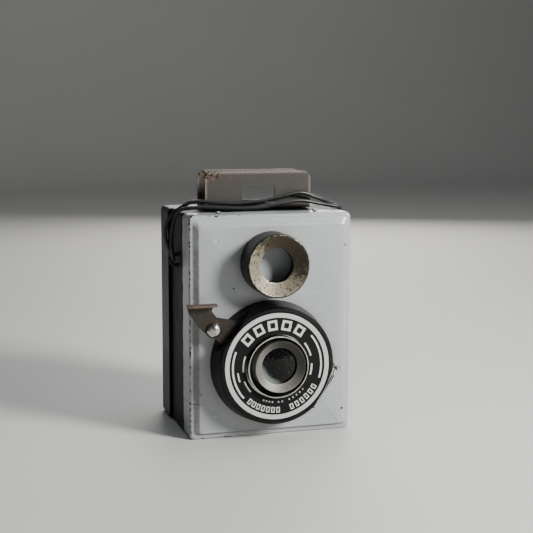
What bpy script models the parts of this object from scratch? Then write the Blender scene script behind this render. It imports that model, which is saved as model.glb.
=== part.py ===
"""Miniature box camera with a twin-lens style front, built as separate named pieces.

Lengths below are in millimetres; each mesh is scaled to metres when it is made.
Front faces -Y, the winding knob is at +X, up is +Z.
The origin is on the underside, at the middle of the body's footprint.
"""
import math

import bmesh
import bpy
from mathutils import Vector

# ---- driving dimensions -------------------------------------------------
PANEL_W = 50.0        # width of the front tray
PANEL_H = 67.0        # height of the body
BODY_D = 36.8         # front rim of the tray to the back of the rear cover
DRUM_R = 18.66        # foot radius of the shutter drum
DRUM_H = 8.3          # drum front above the tray's rim plane
LENS_Z = 22.85        # height of the lens axis
AXIS_X = -0.5         # the lens and viewing axes sit a little off the middle
RING_SPACE = 1.76     # between the drum and the viewing ring
VIEW_R = 9.43         # outer radius of the viewing ring
FINDER_W = 33.4       # width of the finder bracket
FINDER_H = 11.7       # height of the finder's uprights above the body
FINDER_D = 10.8       # front to back of the finder bracket
SPOOL_LEN = 36.0      # length of a film spool

# ---- shared clearances and sheet sizes ----------------------------------
GAP = 0.3             # clearance between pieces that touch in the real thing
SHEET = 0.6           # tray, cover and bracket sheet
SHELL = 0.7           # body shell sheet
FLANGE_D = 9.1        # depth of the tray's flange
RISE = 1.0            # raised field of the tray
COVER_D = 11.5        # depth of the rear cover
STEP = SHEET + GAP    # rebate for a sheet that laps over the shell
SEG = 44              # facets of a large round piece
SEG_S = 14            # facets of a small round piece

# ---- derived positions --------------------------------------------------
HALF_W = PANEL_W / 2.0
YF = -BODY_D / 2.0                    # rim plane of the front tray
YB = BODY_D / 2.0                     # back face of the rear cover
FIELD_Y = YF - RISE                   # face of the raised field
DRUM_Y = YF - DRUM_H                  # front face of the drum
TRAY_END = YF + FLANGE_D              # rear edge of the tray's flange
COVER_START = YB - COVER_D            # front edge of the rear cover
SHELL_FRONT = YF + SHEET + GAP        # front face of the shell
SHELL_BACK = YB - SHEET - 0.4         # rear edge of the shell
GATE_Y = SHELL_BACK - 4.5             # film gate
COVER_HALF = HALF_W + GAP + SHEET     # outer half width of the rear cover
TOP = PANEL_H
VIEW_Z = LENS_Z + DRUM_R + RING_SPACE + VIEW_R   # height of the viewing ring
FINDER_TOP = PANEL_H + FINDER_H       # top edge of the uprights
BAND_Y = (TRAY_END + COVER_START) / 2.0   # middle of the shell's bare band

for item in list(bpy.data.objects):
    bpy.data.objects.remove(item)


# ---- helpers ------------------------------------------------------------
def material(name, rgb, rough, metal):
    mat = bpy.data.materials.new(name)
    mat.use_nodes = True
    shader = mat.node_tree.nodes["Principled BSDF"]
    shader.inputs["Base Color"].default_value = (rgb[0], rgb[1], rgb[2], 1.0)
    shader.inputs["Roughness"].default_value = rough
    shader.inputs["Metallic"].default_value = metal
    mat.diffuse_color = (rgb[0], rgb[1], rgb[2], 1.0)
    return mat


def finish(name, bm, mat, origin=(0.0, 0.0, 0.0), smooth=True):
    """Turn a bmesh in millimetres into a named object in metres."""
    bmesh.ops.recalc_face_normals(bm, faces=bm.faces)
    shift = Vector(origin)
    for vert in bm.verts:
        vert.co = (vert.co - shift) * 0.001
    mesh = bpy.data.meshes.new(name)
    bm.to_mesh(mesh)
    bm.free()
    obj = bpy.data.objects.new(name, mesh)
    obj.location = shift * 0.001
    bpy.context.scene.collection.objects.link(obj)
    if mat is not None:
        mesh.materials.append(mat)
    if smooth:
        mesh.shade_smooth()
        mesh.set_sharp_from_angle(angle=math.radians(32.0))
    return obj


def place(axis, center, along, radius, angle):
    """Point at a radius and angle round an axis, and at a position along it."""
    c = radius * math.cos(angle)
    s = radius * math.sin(angle)
    if axis == "X":
        return Vector((along, center[0] + c, center[1] + s))
    if axis == "Y":
        return Vector((center[0] + c, along, center[1] + s))
    return Vector((center[0] + c, center[1] + s, along))


def revolve(axis, center, profile, seg=SEG, loop=True, bm=None):
    """Revolve (radius, along) points. loop=True closes the profile into a ring."""
    bm = bm or bmesh.new()
    rows = []
    for radius, along in profile:
        if radius <= 1e-6:
            rows.append([bm.verts.new(place(axis, center, along, 0.0, 0.0))])
            continue
        row = []
        for i in range(seg):
            row.append(bm.verts.new(place(axis, center, along, radius, 2.0 * math.pi * i / seg)))
        rows.append(row)
    count = len(rows) if loop else len(rows) - 1
    for k in range(count):
        a = rows[k]
        b = rows[(k + 1) % len(rows)]
        for i in range(seg):
            j = (i + 1) % seg
            if len(a) == 1 and len(b) == 1:
                continue
            if len(a) == 1:
                bm.faces.new((a[0], b[j], b[i]))
            elif len(b) == 1:
                bm.faces.new((a[i], a[j], b[0]))
            else:
                bm.faces.new((a[i], a[j], b[j], b[i]))
    return bm


def frame_ring(y, x0, x1, z0, z1, r, n=4):
    """Rounded rectangle in a plane of constant y, always the same point count."""
    pts = []
    corners = ((x1 - r, z1 - r, 0.0), (x0 + r, z1 - r, 90.0), (x0 + r, z0 + r, 180.0), (x1 - r, z0 + r, 270.0))
    for cx, cz, start in corners:
        for i in range(n + 1):
            a = math.radians(start + 90.0 * i / n)
            pts.append(Vector((cx + r * math.cos(a), y, cz + r * math.sin(a))))
    return pts


def loft(rings, loop=False, bm=None):
    """Skin a list of equal rings; loop=True joins the last to the first."""
    bm = bm or bmesh.new()
    rows = [[bm.verts.new(p) for p in ring] for ring in rings]
    size = len(rows[0])
    count = len(rows) if loop else len(rows) - 1
    for k in range(count):
        a = rows[k]
        b = rows[(k + 1) % len(rows)]
        for i in range(size):
            j = (i + 1) % size
            bm.faces.new((a[i], a[j], b[j], b[i]))
    if not loop:
        bm.faces.new(rows[0])
        bm.faces.new(rows[-1])
    return bm


def prism(points, y0, y1, bm=None):
    """Extrude an outline given as (x, z) between two y planes."""
    lower = [Vector((p[0], y0, p[1])) for p in points]
    upper = [Vector((p[0], y1, p[1])) for p in points]
    return loft([lower, upper], bm=bm)


def disc_outline(cx, cz, r, start, end, n):
    pts = []
    for i in range(n + 1):
        a = math.radians(start + (end - start) * i / n)
        pts.append((cx + r * math.cos(a), cz + r * math.sin(a)))
    return pts


def boolean(obj, cutters, op="DIFFERENCE"):
    """Apply one EXACT boolean per cutter bmesh, then drop the cutter."""
    for bm in cutters:
        tool = finish("cutter", bm, None, smooth=False)
        tool.hide_render = True
        tool.display_type = "WIRE"
        mod = obj.modifiers.new("cut", "BOOLEAN")
        mod.object = tool
        mod.operation = op
        mod.solver = "EXACT"
        deps = bpy.context.evaluated_depsgraph_get()
        mesh = bpy.data.meshes.new_from_object(obj.evaluated_get(deps))
        old = obj.data
        obj.modifiers.remove(mod)
        obj.data = mesh
        mesh.name = obj.name
        bpy.data.meshes.remove(old)
        bpy.data.objects.remove(tool)
    obj.data.shade_smooth()
    obj.data.set_sharp_from_angle(angle=math.radians(32.0))
    return obj


def hole(axis, center, radius, a0, a1, seg=SEG_S):
    """Solid cylinder used as a cutter."""
    return revolve(axis, center, ((0.0, a0), (radius, a0), (radius, a1), (0.0, a1)), seg, loop=False)


def rivet(name, mat, axis, center, foot, head_r, head_h, shank_r, tail, tail_r, tail_h, origin=None):
    """Domed head at foot, shank to tail and a flat clinched end; signs follow tail - foot."""
    out = 1.0 if foot > tail else -1.0
    dome = [(0.0, foot + out * head_h)]
    for i in range(1, 5):
        a = math.radians(90.0 - 90.0 * i / 4)
        dome.append((head_r * math.cos(a), foot + out * head_h * (0.12 + 0.88 * math.sin(a))))
    prof = dome + [(head_r, foot), (shank_r, foot), (shank_r, tail)]
    prof += [(tail_r, tail), (tail_r, tail - out * tail_h), (0.0, tail - out * tail_h)]
    bm = revolve(axis, center, prof, SEG_S, loop=False)
    return finish(name, bm, mat, origin or (0.0, 0.0, 0.0))


def tube_along(points, radius, seg, bm=None):
    """Closed round tube along a polyline in millimetres."""
    bm = bm or bmesh.new()
    rings = []
    side = None
    for i, p in enumerate(points):
        a = points[max(i - 1, 0)]
        b = points[min(i + 1, len(points) - 1)]
        t = (b - a).normalized()
        if side is None:
            side = t.orthogonal().normalized()
        side = (side - t * side.dot(t)).normalized()
        other = t.cross(side)
        ring = []
        for k in range(seg):
            w = 2.0 * math.pi * k / seg
            ring.append(p + side * (radius * math.cos(w)) + other * (radius * math.sin(w)))
        rings.append(ring)
    return loft(rings, bm=bm)


def smooth_route(points, count):
    """Catmull-Rom through the route points, read at equal steps of length."""
    pts = [Vector(p) for p in points]
    ext = [pts[0] * 2.0 - pts[1]] + pts + [pts[-1] * 2.0 - pts[-2]]
    fine = []
    for i in range(1, len(ext) - 2):
        p0, p1, p2, p3 = ext[i - 1], ext[i], ext[i + 1], ext[i + 2]
        for k in range(24):
            t = k / 24.0
            v = (p1 * 2.0 + (p2 - p0) * t + (p0 * 2.0 - p1 * 5.0 + p2 * 4.0 - p3) * t * t)
            v = v + (p1 * 3.0 - p0 - p2 * 3.0 + p3) * t * t * t
            fine.append(v * 0.5)
    fine.append(pts[-1])
    lengths = [0.0]
    for a, b in zip(fine, fine[1:]):
        lengths.append(lengths[-1] + (b - a).length)
    out = []
    k = 0
    for i in range(count):
        want = lengths[-1] * i / (count - 1)
        while k < len(lengths) - 2 and lengths[k + 1] < want:
            k += 1
        span = max(lengths[k + 1] - lengths[k], 1e-9)
        out.append(fine[k].lerp(fine[k + 1], (want - lengths[k]) / span))
    return out


def cord(name, route, radius, count, mat):
    """Cord as a curve tube in metres."""
    data = bpy.data.curves.new(name, "CURVE")
    data.dimensions = "3D"
    data.bevel_depth = radius * 0.001
    data.bevel_resolution = 2
    data.use_fill_caps = True
    line = data.splines.new("POLY")
    pts = smooth_route(route, count)
    line.points.add(len(pts) - 1)
    for spot, p in zip(line.points, pts):
        spot.co = (p.x * 0.001, p.y * 0.001, p.z * 0.001, 1.0)
    obj = bpy.data.objects.new(name, data)
    bpy.context.scene.collection.objects.link(obj)
    data.materials.append(mat)
    return obj


# ---- materials ----------------------------------------------------------
PAINT = material("panel_enamel", (0.30, 0.35, 0.37), 0.42, 0.0)
BLACK = material("body_black", (0.012, 0.012, 0.013), 0.45, 0.0)
COVERM = material("cover_black", (0.014, 0.014, 0.015), 0.5, 0.0)
DRUMM = material("drum_black", (0.010, 0.010, 0.011), 0.35, 0.0)
PLATE = material("plate_black", (0.016, 0.016, 0.017), 0.4, 0.0)
RINGM = material("view_ring_black", (0.03, 0.028, 0.025), 0.38, 0.0)
BRIGHT = material("bright_ring", (0.62, 0.61, 0.58), 0.22, 1.0)
BEZEL = material("bezel_grey", (0.30, 0.30, 0.28), 0.38, 0.7)
GLASS = material("lens_glass", (0.05, 0.06, 0.06), 0.05, 0.0)
STOP = material("stop_black", (0.02, 0.02, 0.02), 0.6, 0.0)
BRASS = material("lever_brass", (0.16, 0.12, 0.07), 0.35, 0.9)
NICKEL = material("rivet_nickel", (0.66, 0.64, 0.60), 0.2, 1.0)
STEEL = material("spring_steel", (0.22, 0.24, 0.22), 0.35, 0.9)
TIN = material("inner_tin", (0.45, 0.45, 0.43), 0.4, 0.9)
FINDER = material("finder_enamel", (0.06, 0.052, 0.045), 0.45, 0.2)
CORDM = material("strap_black", (0.012, 0.013, 0.015), 0.5, 0.0)
SPOOLM = material("spool_black", (0.02, 0.02, 0.022), 0.5, 0.1)
KNOB = material("knob_nickel", (0.55, 0.54, 0.52), 0.28, 1.0)
RED = material("window_red", (0.35, 0.01, 0.01), 0.15, 0.0)
FELT = material("liner_black", (0.015, 0.015, 0.015), 0.8, 0.0)


# ---- front tray ---------------------------------------------------------
def tray_ring(y, inset, r=1.2):
    x = HALF_W - inset
    return frame_ring(y, -x, x, inset, TOP - inset, r)


FOOT_IN = (1.0, 0.95, 1.45, 1.15)     # left, right, bottom and top margins at the slope's foot
FIELD_IN = (2.9, 2.55, 2.0, 3.5)      # the same margins where the slope reaches the field


def slope_ring(y, share, r):
    """Ring on the slope round the raised field: share 0 is its foot, 1 the field's edge."""
    left, right, low, high = (a + (b - a) * share for a, b in zip(FOOT_IN, FIELD_IN))
    return frame_ring(y, -HALF_W + left, HALF_W - right, low, TOP - high, r)


tray_rows = [
    slope_ring(FIELD_Y + SHEET, 1.0, 0.8),
    slope_ring(YF + SHEET, 0.15, 0.9),
    tray_ring(YF + SHEET, SHEET + 0.4, 0.7),
    tray_ring(YF + SHEET + 0.5, SHEET, 0.7),
    tray_ring(TRAY_END, SHEET, 0.7),
    tray_ring(TRAY_END, 0.0),
    tray_ring(YF + 0.9, 0.0),
    tray_ring(YF + 0.35, 0.12),
    tray_ring(YF + 0.08, 0.42),
    tray_ring(YF, 0.85),
    slope_ring(YF, 0.0, 1.3),
    slope_ring(YF - 0.14, 0.2, 1.25),
    slope_ring(FIELD_Y + 0.14, 0.8, 1.15),
    slope_ring(FIELD_Y, 1.0, 1.1),
]
front_plate = finish("front_plate", loft(tray_rows), PAINT)

LEVER_AT = math.radians(148.5)
LEVER_R = DRUM_R + 2.9
LEVER_C = (AXIS_X + LEVER_R * math.cos(LEVER_AT), LENS_Z + LEVER_R * math.sin(LEVER_AT))
POST_C = (AXIS_X + (DRUM_R + 1.3) * math.cos(math.radians(-7.5)),
          LENS_Z + (DRUM_R + 1.3) * math.sin(math.radians(-7.5)))
LIGHT_R = 5.0
PIN_X = PANEL_W * 0.3
PIN_Y = YF + FLANGE_D / 2.0
BASE_RIVETS = (200.0, 282.0)
BASE_RIVET_R = DRUM_R - 4.6


def at(radius, degrees):
    a = math.radians(degrees)
    return (AXIS_X + radius * math.cos(a), LENS_Z + radius * math.sin(a))


front_cuts = [hole("Y", (AXIS_X, LENS_Z), LIGHT_R, FIELD_Y - 1.0, YF + 2.0, 32)]
front_cuts.append(hole("Y", LEVER_C, 1.2, FIELD_Y - 1.0, YF + 2.0))
front_cuts.append(hole("Y", POST_C, 0.8, FIELD_Y - 1.0, YF + 2.0))
for deg in BASE_RIVETS:
    front_cuts.append(hole("Y", at(BASE_RIVET_R, deg), 0.9, FIELD_Y - 1.0, YF + 2.0))
for sx in (-1.0, 1.0):
    front_cuts.append(hole("Z", (sx * PIN_X, PIN_Y), 0.8, TOP - 2.0, TOP + 1.0))
boolean(front_plate, front_cuts)

# ---- body shell ---------------------------------------------------------
XF = HALF_W - STEP
XR = HALF_W - 0.15
shell_rows = [
    frame_ring(SHELL_FRONT + SHELL, -XF + SHELL, XF - SHELL, STEP + SHELL, TOP - STEP - SHELL, 0.6),
    frame_ring(TRAY_END + GAP + SHELL, -XF + SHELL, XF - SHELL, STEP + SHELL, TOP - STEP - SHELL, 0.6),
    frame_ring(TRAY_END + GAP + SHELL, -HALF_W + SHELL, HALF_W - SHELL, SHELL, TOP - SHELL, 0.6),
    frame_ring(COVER_START - GAP - SHELL, -HALF_W + SHELL, HALF_W - SHELL, SHELL, TOP - SHELL, 0.6),
    frame_ring(COVER_START - GAP - SHELL, -XR + SHELL, XR - SHELL, STEP + SHELL, TOP - STEP - SHELL, 0.6),
    frame_ring(SHELL_BACK, -XR + SHELL, XR - SHELL, STEP + SHELL, TOP - STEP - SHELL, 0.6),
    frame_ring(SHELL_BACK, -XR, XR, STEP, TOP - STEP, 1.2),
    frame_ring(COVER_START - GAP, -XR, XR, STEP, TOP - STEP, 1.2),
    frame_ring(COVER_START - GAP, -HALF_W, HALF_W, 0.0, TOP, 1.2),
    frame_ring(TRAY_END + GAP, -HALF_W, HALF_W, 0.0, TOP, 1.2),
    frame_ring(TRAY_END + GAP, -XF, XF, STEP, TOP - STEP, 0.9),
    frame_ring(SHELL_FRONT, -XF, XF, STEP, TOP - STEP, 0.9),
]
body_shell = finish("body_shell", loft(shell_rows), BLACK)

RIV_Y = BAND_Y + 2.1
FIN_Y0 = RIV_Y - FINDER_D / 2.0       # front face of the front upright
FIN_Y1 = RIV_Y + FINDER_D / 2.0       # back face of the rear upright
SUP_Y = SHELL_FRONT + 7.4
SUP_Z = STEP + SHELL + 6.8
SUP_FR = 5.6
TAKE_Y = COVER_START - 2.7            # the knob's washer stays clear of the cover
KNOB_R = 4.8
TAKE_Z = PANEL_H - 16.5
TAKE_FR = 8.5
LUG_SHARE = 0.7356                    # the lug's place between the tray's edge and the knob
LUG_Y = TRAY_END + LUG_SHARE * (TAKE_Y - KNOB_R - TRAY_END)
LUG_Z = PANEL_H - 14.7
LUG_HALF = 1.7
ROLL_Y = GATE_Y - 0.6
ROLL_R = 1.5
ROLL_OFF = 15.6
RIV_X = FINDER_W * 0.33

shell_cuts = [hole("Y", (AXIS_X, LENS_Z), LIGHT_R - 1.0, SHELL_FRONT - 1.0, SHELL_FRONT + 2.0, 32)]
for sx in (-1.0, 1.0):
    shell_cuts.append(hole("Z", (sx * PIN_X, PIN_Y), 0.8, TOP - 3.0, TOP + 1.0))
    shell_cuts.append(hole("Z", (sx * RIV_X, RIV_Y), 1.0, TOP - 2.0, TOP + 1.0))
    for dz in (-LUG_HALF, LUG_HALF):
        inner = sx * (HALF_W - 2.0)
        outer = sx * (HALF_W + 1.0)
        shell_cuts.append(hole("X", (LUG_Y, LUG_Z + dz), 0.85, inner, outer))
    for dz in (-ROLL_OFF, ROLL_OFF):
        shell_cuts.append(hole("X", (ROLL_Y, LENS_Z + dz), 0.9, sx * (HALF_W - 2.0), sx * (HALF_W + 1.0)))
    shell_cuts.append(hole("X", (SUP_Y, SUP_Z), 0.9, sx * (HALF_W - 3.5), sx * (HALF_W - 0.75)))
shell_cuts.append(hole("X", (TAKE_Y, TAKE_Z), 0.9, -HALF_W - 1.0, -HALF_W + 2.0))
shell_cuts.append(hole("X", (TAKE_Y, TAKE_Z), 1.3, HALF_W - 2.0, HALF_W + 1.0))
boolean(body_shell, shell_cuts)

# ---- rear cover ---------------------------------------------------------
IN_X = COVER_HALF - SHEET
cover_rows = [
    frame_ring(YB - SHEET, -IN_X, IN_X, SHEET, TOP - SHEET, 0.8),
    frame_ring(COVER_START, -IN_X, IN_X, SHEET, TOP - SHEET, 0.8),
    frame_ring(COVER_START, -COVER_HALF, COVER_HALF, 0.0, TOP, 1.4),
    frame_ring(YB - 1.0, -COVER_HALF, COVER_HALF, 0.0, TOP, 1.4),
    frame_ring(YB - 0.35, -COVER_HALF + 0.15, COVER_HALF - 0.15, 0.15, TOP - 0.15, 1.4),
    frame_ring(YB, -COVER_HALF + 0.8, COVER_HALF - 0.8, 0.8, TOP - 0.8, 1.2),
]
rear_cover = finish("rear_cover", loft(cover_rows), COVERM)
WIN_R = 3.6
boolean(rear_cover, [hole("Y", (AXIS_X, LENS_Z), WIN_R, YB - 2.0, YB + 1.0, 28)])

win_c = (AXIS_X, LENS_Z)
prof = ((WIN_R + 0.3, YB + GAP), (WIN_R + 0.3, YB + 0.9), (WIN_R + 0.7, YB + 1.1),
        (WIN_R + 1.5, YB + 0.8), (WIN_R + 1.7, YB + GAP))
window_ring = finish("window_ring", revolve("Y", win_c, prof, 32), KNOB)
prof = ((0.0, YB - SHEET - GAP), (WIN_R + 0.8, YB - SHEET - GAP), (WIN_R + 0.8, YB - SHEET - 0.8),
        (0.0, YB - SHEET - 0.8))
red_window = finish("red_window", revolve("Y", win_c, prof, 32, loop=False), RED)
prof = ((WIN_R - 0.5, YB - SHEET - 1.1), (WIN_R + 1.6, YB - SHEET - 1.1),
        (WIN_R + 1.6, YB - SHEET - 1.4), (WIN_R - 0.5, YB - SHEET - 1.4))
window_clip = finish("window_clip", revolve("Y", win_c, prof, 32), TIN)

# pressure plate and its two bowed leaves
PLATE_Y = GATE_Y + 1.5
rows = [frame_ring(PLATE_Y, AXIS_X - 15.0, AXIS_X + 15.0, LENS_Z - 14.0, LENS_Z + 14.0, 1.0)]
rows.append(frame_ring(PLATE_Y + 0.4, AXIS_X - 15.0, AXIS_X + 15.0, LENS_Z - 14.0, LENS_Z + 14.0, 1.0))
pressure_plate = finish("pressure_plate", loft(rows), FELT)
boolean(pressure_plate, [hole("Y", win_c, WIN_R - 0.2, PLATE_Y - 1.0, PLATE_Y + 2.0, 28)])


def leaf(name, z):
    """Bowed leaf spring across the back of the pressure plate."""
    room = (YB - SHEET - GAP) - (PLATE_Y + 0.4 + GAP) - 0.25
    low = []
    high = []
    for i in range(13):
        u = i / 12.0
        x = AXIS_X - 11.0 + 22.0 * u
        y = PLATE_Y + 0.4 + GAP + room * (0.5 - 0.5 * math.cos(2.0 * math.pi * u))
        low.append((x, y))
        high.append((x, y + 0.25))
    outline = low + high[::-1]
    lower = [Vector((p[0], p[1], z - 1.5)) for p in outline]
    upper = [Vector((p[0], p[1], z + 1.5)) for p in outline]
    return finish(name, loft([lower, upper]), STEEL)


leaf("pressure_leaf_top", LENS_Z + 9.5)
leaf("pressure_leaf_bottom", LENS_Z - 9.5)

# ---- viewing ring -------------------------------------------------------
VIEW_Y = YF - 9.6
VIEW_BORE = 5.17
view_foot = FIELD_Y - GAP
prof = [
    (VIEW_R, view_foot),
    (VIEW_R, VIEW_Y + 0.5),
    (VIEW_R - 0.12, VIEW_Y + 0.15),
    (VIEW_R - 0.45, VIEW_Y),
    (VIEW_R - 0.75, VIEW_Y + 0.12),
    (VIEW_BORE + 0.5, VIEW_Y + 2.0),
    (VIEW_BORE, VIEW_Y + 2.25),
    (VIEW_BORE, VIEW_Y + 5.2),
    (VIEW_BORE + 0.5, VIEW_Y + 5.2),
    (VIEW_BORE + 0.55, VIEW_Y + 2.7),
    (VIEW_R - 0.85, VIEW_Y + 0.95),
    (VIEW_R - 0.6, VIEW_Y + 1.2),
    (VIEW_R - 0.6, view_foot),
]
view_ring = finish("view_ring", revolve("Y", (AXIS_X, VIEW_Z), prof), RINGM)

# ---- shutter drum -------------------------------------------------------
LENS_C = (AXIS_X, LENS_Z)
DRUM_FR = DRUM_R - 1.1                # front radius
NAME_R = DRUM_R - 2.7                 # name plate radius
drum_foot = FIELD_Y - GAP
SHELF_Y = DRUM_Y + 0.7
prof = [
    (DRUM_R, drum_foot),
    (DRUM_FR + 0.12, DRUM_Y + 1.0),
    (DRUM_FR - 0.1, DRUM_Y + 0.4),
    (DRUM_FR - 0.45, DRUM_Y + 0.08),
    (DRUM_FR - 0.9, DRUM_Y),
    (NAME_R + GAP, DRUM_Y),
    (NAME_R + GAP, SHELF_Y),
    (9.6, SHELF_Y),
    (9.6, SHELF_Y + SHEET),
    (DRUM_FR - 0.9, SHELF_Y + SHEET),
    (DRUM_FR - 0.6, SHELF_Y + SHEET + 0.4),
    (DRUM_R - SHEET, drum_foot),
]
shutter_housing = finish("shutter_housing", revolve("Y", LENS_C, prof, 60), DRUMM)


def radial_block(degrees, r0, r1, half, y0, y1):
    """Box cutter that points outwards from the lens axis."""
    a = math.radians(degrees)
    n = (math.cos(a), math.sin(a))
    t = (-n[1], n[0])
    pts = []
    for r, s in ((r0, -half), (r1, -half), (r1, half), (r0, half)):
        pts.append((AXIS_X + n[0] * r + t[0] * s, LENS_Z + n[1] * r + t[1] * s))
    return prism(pts, y0, y1)


CHORD = NAME_R + 0.4
LEVER_Y0 = DRUM_Y + 3.4               # front face of the lever
LEVER_Y1 = LEVER_Y0 + 0.6             # back face of the lever
RING_Y0 = LEVER_Y1 + GAP              # shutter ring
RING_Y1 = RING_Y0 + 0.3
BLADE_Y0 = RING_Y1 + GAP
BLADE_Y1 = BLADE_Y0 + 0.3
BASE_Y0 = BLADE_Y1 + GAP
BASE_Y1 = BASE_Y0 + 0.6
drum_cuts = [
    radial_block(140.0, CHORD, DRUM_R + 4.0, 9.0, DRUM_Y - 1.0, RING_Y0),
    radial_block(-28.0, CHORD, DRUM_R + 4.0, 9.0, DRUM_Y - 1.0, DRUM_Y + 3.5),
    radial_block(-53.0, CHORD - 1.0, DRUM_R + 4.0, 4.6, DRUM_Y + 2.0, RING_Y1 + GAP),
]
boolean(shutter_housing, drum_cuts)

prof = [
    (NAME_R, DRUM_Y + 0.4),
    (NAME_R, DRUM_Y + 0.06),
    (NAME_R - 0.06, DRUM_Y),
    (NAME_R - 1.36, DRUM_Y),
    (NAME_R - 1.42, DRUM_Y + 0.1),
    (9.7, DRUM_Y + 0.1),
    (9.6, DRUM_Y + 0.4),
]
name_plate = finish("name_plate", revolve("Y", LENS_C, prof, 60), PLATE)

RIM_R = 9.28
RIM_Y = DRUM_Y - 1.4
rim_flange = SHELF_Y + SHEET + GAP
prof = [
    (RIM_R, RIM_Y + 0.15),
    (RIM_R - 0.12, RIM_Y),
    (RIM_R - 0.35, RIM_Y),
    (RIM_R - 0.43, RIM_Y + 0.12),
    (RIM_R - 0.43, rim_flange + 0.5),
    (10.6, rim_flange + 0.5),
    (10.6, rim_flange),
    (RIM_R, rim_flange),
]
lens_ring = finish("lens_ring", revolve("Y", LENS_C, prof), BRIGHT)

# ---- lens cell, set slightly off the ring's centre ----------------------
CELL_C = (AXIS_X + 0.7, LENS_Z)
CELL_R = 7.8
CELL_Y = DRUM_Y - 1.2
CELL_BACK = LEVER_Y1 - 0.2
LIP_R = 5.42
prof = [
    (CELL_R, CELL_Y + 0.25),
    (CELL_R - 0.18, CELL_Y),
    (CELL_R - 0.4, CELL_Y + 0.06),
    (LIP_R + 0.15, CELL_Y + 1.3),
    (LIP_R, CELL_Y + 1.45),
    (LIP_R, CELL_Y + 1.7),
    (CELL_R - 0.5, CELL_Y + 1.7),
    (CELL_R - 0.5, CELL_BACK),
    (CELL_R, CELL_BACK),
]
lens_bezel = finish("lens_bezel", revolve("Y", CELL_C, prof), BEZEL)

GLASS_R = CELL_R - 0.5 - GAP
prof = []
for i in range(7):
    r = GLASS_R * i / 6.0
    prof.append((r, CELL_Y + 1.45 + 1.0 * (r / GLASS_R) ** 2))
prof.append((GLASS_R, CELL_Y + 3.2))
prof.append((0.0, CELL_Y + 3.2))
lens_glass = finish("lens_glass", revolve("Y", CELL_C, prof, 40, loop=False), GLASS)
y = CELL_Y + 3.2 + GAP
prof = ((GLASS_R - 1.2, y), (GLASS_R, y), (GLASS_R, y + 0.7), (GLASS_R - 1.2, y + 0.7))
lens_retainer = finish("lens_retainer", revolve("Y", CELL_C, prof, 40), TIN)

# ---- shutter works ------------------------------------------------------
STOP_R = 10.9
STOP_Y0 = LEVER_Y1 + 0.1
STOP_Y1 = STOP_Y0 + 0.3
prof = ((1.3, STOP_Y0), (STOP_R, STOP_Y0), (STOP_R, STOP_Y1), (1.3, STOP_Y1))
aperture_stop = finish("aperture_stop", revolve("Y", LENS_C, prof, 48), STOP)
prof = ((2.0, BASE_Y0), (DRUM_R - 1.7, BASE_Y0), (DRUM_R - 1.7, BASE_Y1), (2.0, BASE_Y1))
shutter_base = finish("shutter_base", revolve("Y", LENS_C, prof), TIN)

POSTS = (205.0, 335.0)
POST_R = 9.3
BLADE_C = (AXIS_X, LENS_Z + 8.3)
stop_cuts = [hole("Y", at(POST_R, deg), 0.75, STOP_Y0 - 1.0, STOP_Y1 + 1.0) for deg in POSTS]
boolean(aperture_stop, stop_cuts)
base_cuts = [hole("Y", at(POST_R, deg), 0.75, BASE_Y0 - 1.0, BASE_Y1 + 1.0) for deg in POSTS]
base_cuts += [hole("Y", at(BASE_RIVET_R, deg), 0.9, BASE_Y0 - 1.0, BASE_Y1 + 1.0) for deg in BASE_RIVETS]
base_cuts.append(hole("Y", BLADE_C, 0.9, BASE_Y0 - 1.0, BASE_Y1 + 1.0))
boolean(shutter_base, base_cuts)
for deg, side in zip(POSTS, ("left", "right")):
    rivet("stop_post_" + side, TIN, "Y", at(POST_R, deg), STOP_Y0 - GAP, 0.9, 0.25, 0.45,
          BASE_Y1 + GAP, 0.9, 0.2)
for deg, side in zip(BASE_RIVETS, ("left", "right")):
    rivet("base_rivet_" + side, TIN, "Y", at(BASE_RIVET_R, deg), BASE_Y0 - GAP, 1.3, 0.28, 0.6,
          FIELD_Y + SHEET + GAP, 1.3, 0.25)

# ring that carries the motion round the drum
RING_OUT = DRUM_R - 2.26
RING_IN = STOP_R + GAP
HALF_STROKE = 4.0                     # half of the ring's turn, degrees
PIN_AT = math.degrees(LEVER_AT) + HALF_STROKE
DRIVE_R = DRUM_R - 3.19
DRIVE_C = at(DRIVE_R, PIN_AT)
TAIL_AT = -47.2
TAIL_C = at(DRUM_R - 0.76, TAIL_AT)
BLADE_ARM = 4.3
BLADE_PIN_C = at(8.3 + BLADE_ARM, 90.0 + HALF_STROKE)
prof = ((RING_IN, RING_Y0), (RING_OUT, RING_Y0), (RING_OUT, RING_Y1), (RING_IN, RING_Y1))
origin = (AXIS_X, RING_Y0, LENS_Z)
shutter_ring = finish("shutter_ring", revolve("Y", LENS_C, prof), TIN, origin)
tail_y = RING_Y0 - 2.1
adds = [
    radial_block(TAIL_AT, RING_OUT - 1.0, DRUM_R - 0.2, 0.9, RING_Y0 + 0.01, RING_Y1 - 0.01),
    hole("Y", TAIL_C, 0.4, tail_y, RING_Y0 + 0.15, 12),
    hole("Y", DRIVE_C, 0.6, LEVER_Y0 - 0.3, RING_Y0 + 0.15, 16),
    hole("Y", BLADE_PIN_C, 0.5, RING_Y1 - 0.15, BLADE_Y1 + 0.15, 16),
]
boolean(shutter_ring, adds, "UNION")

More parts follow.
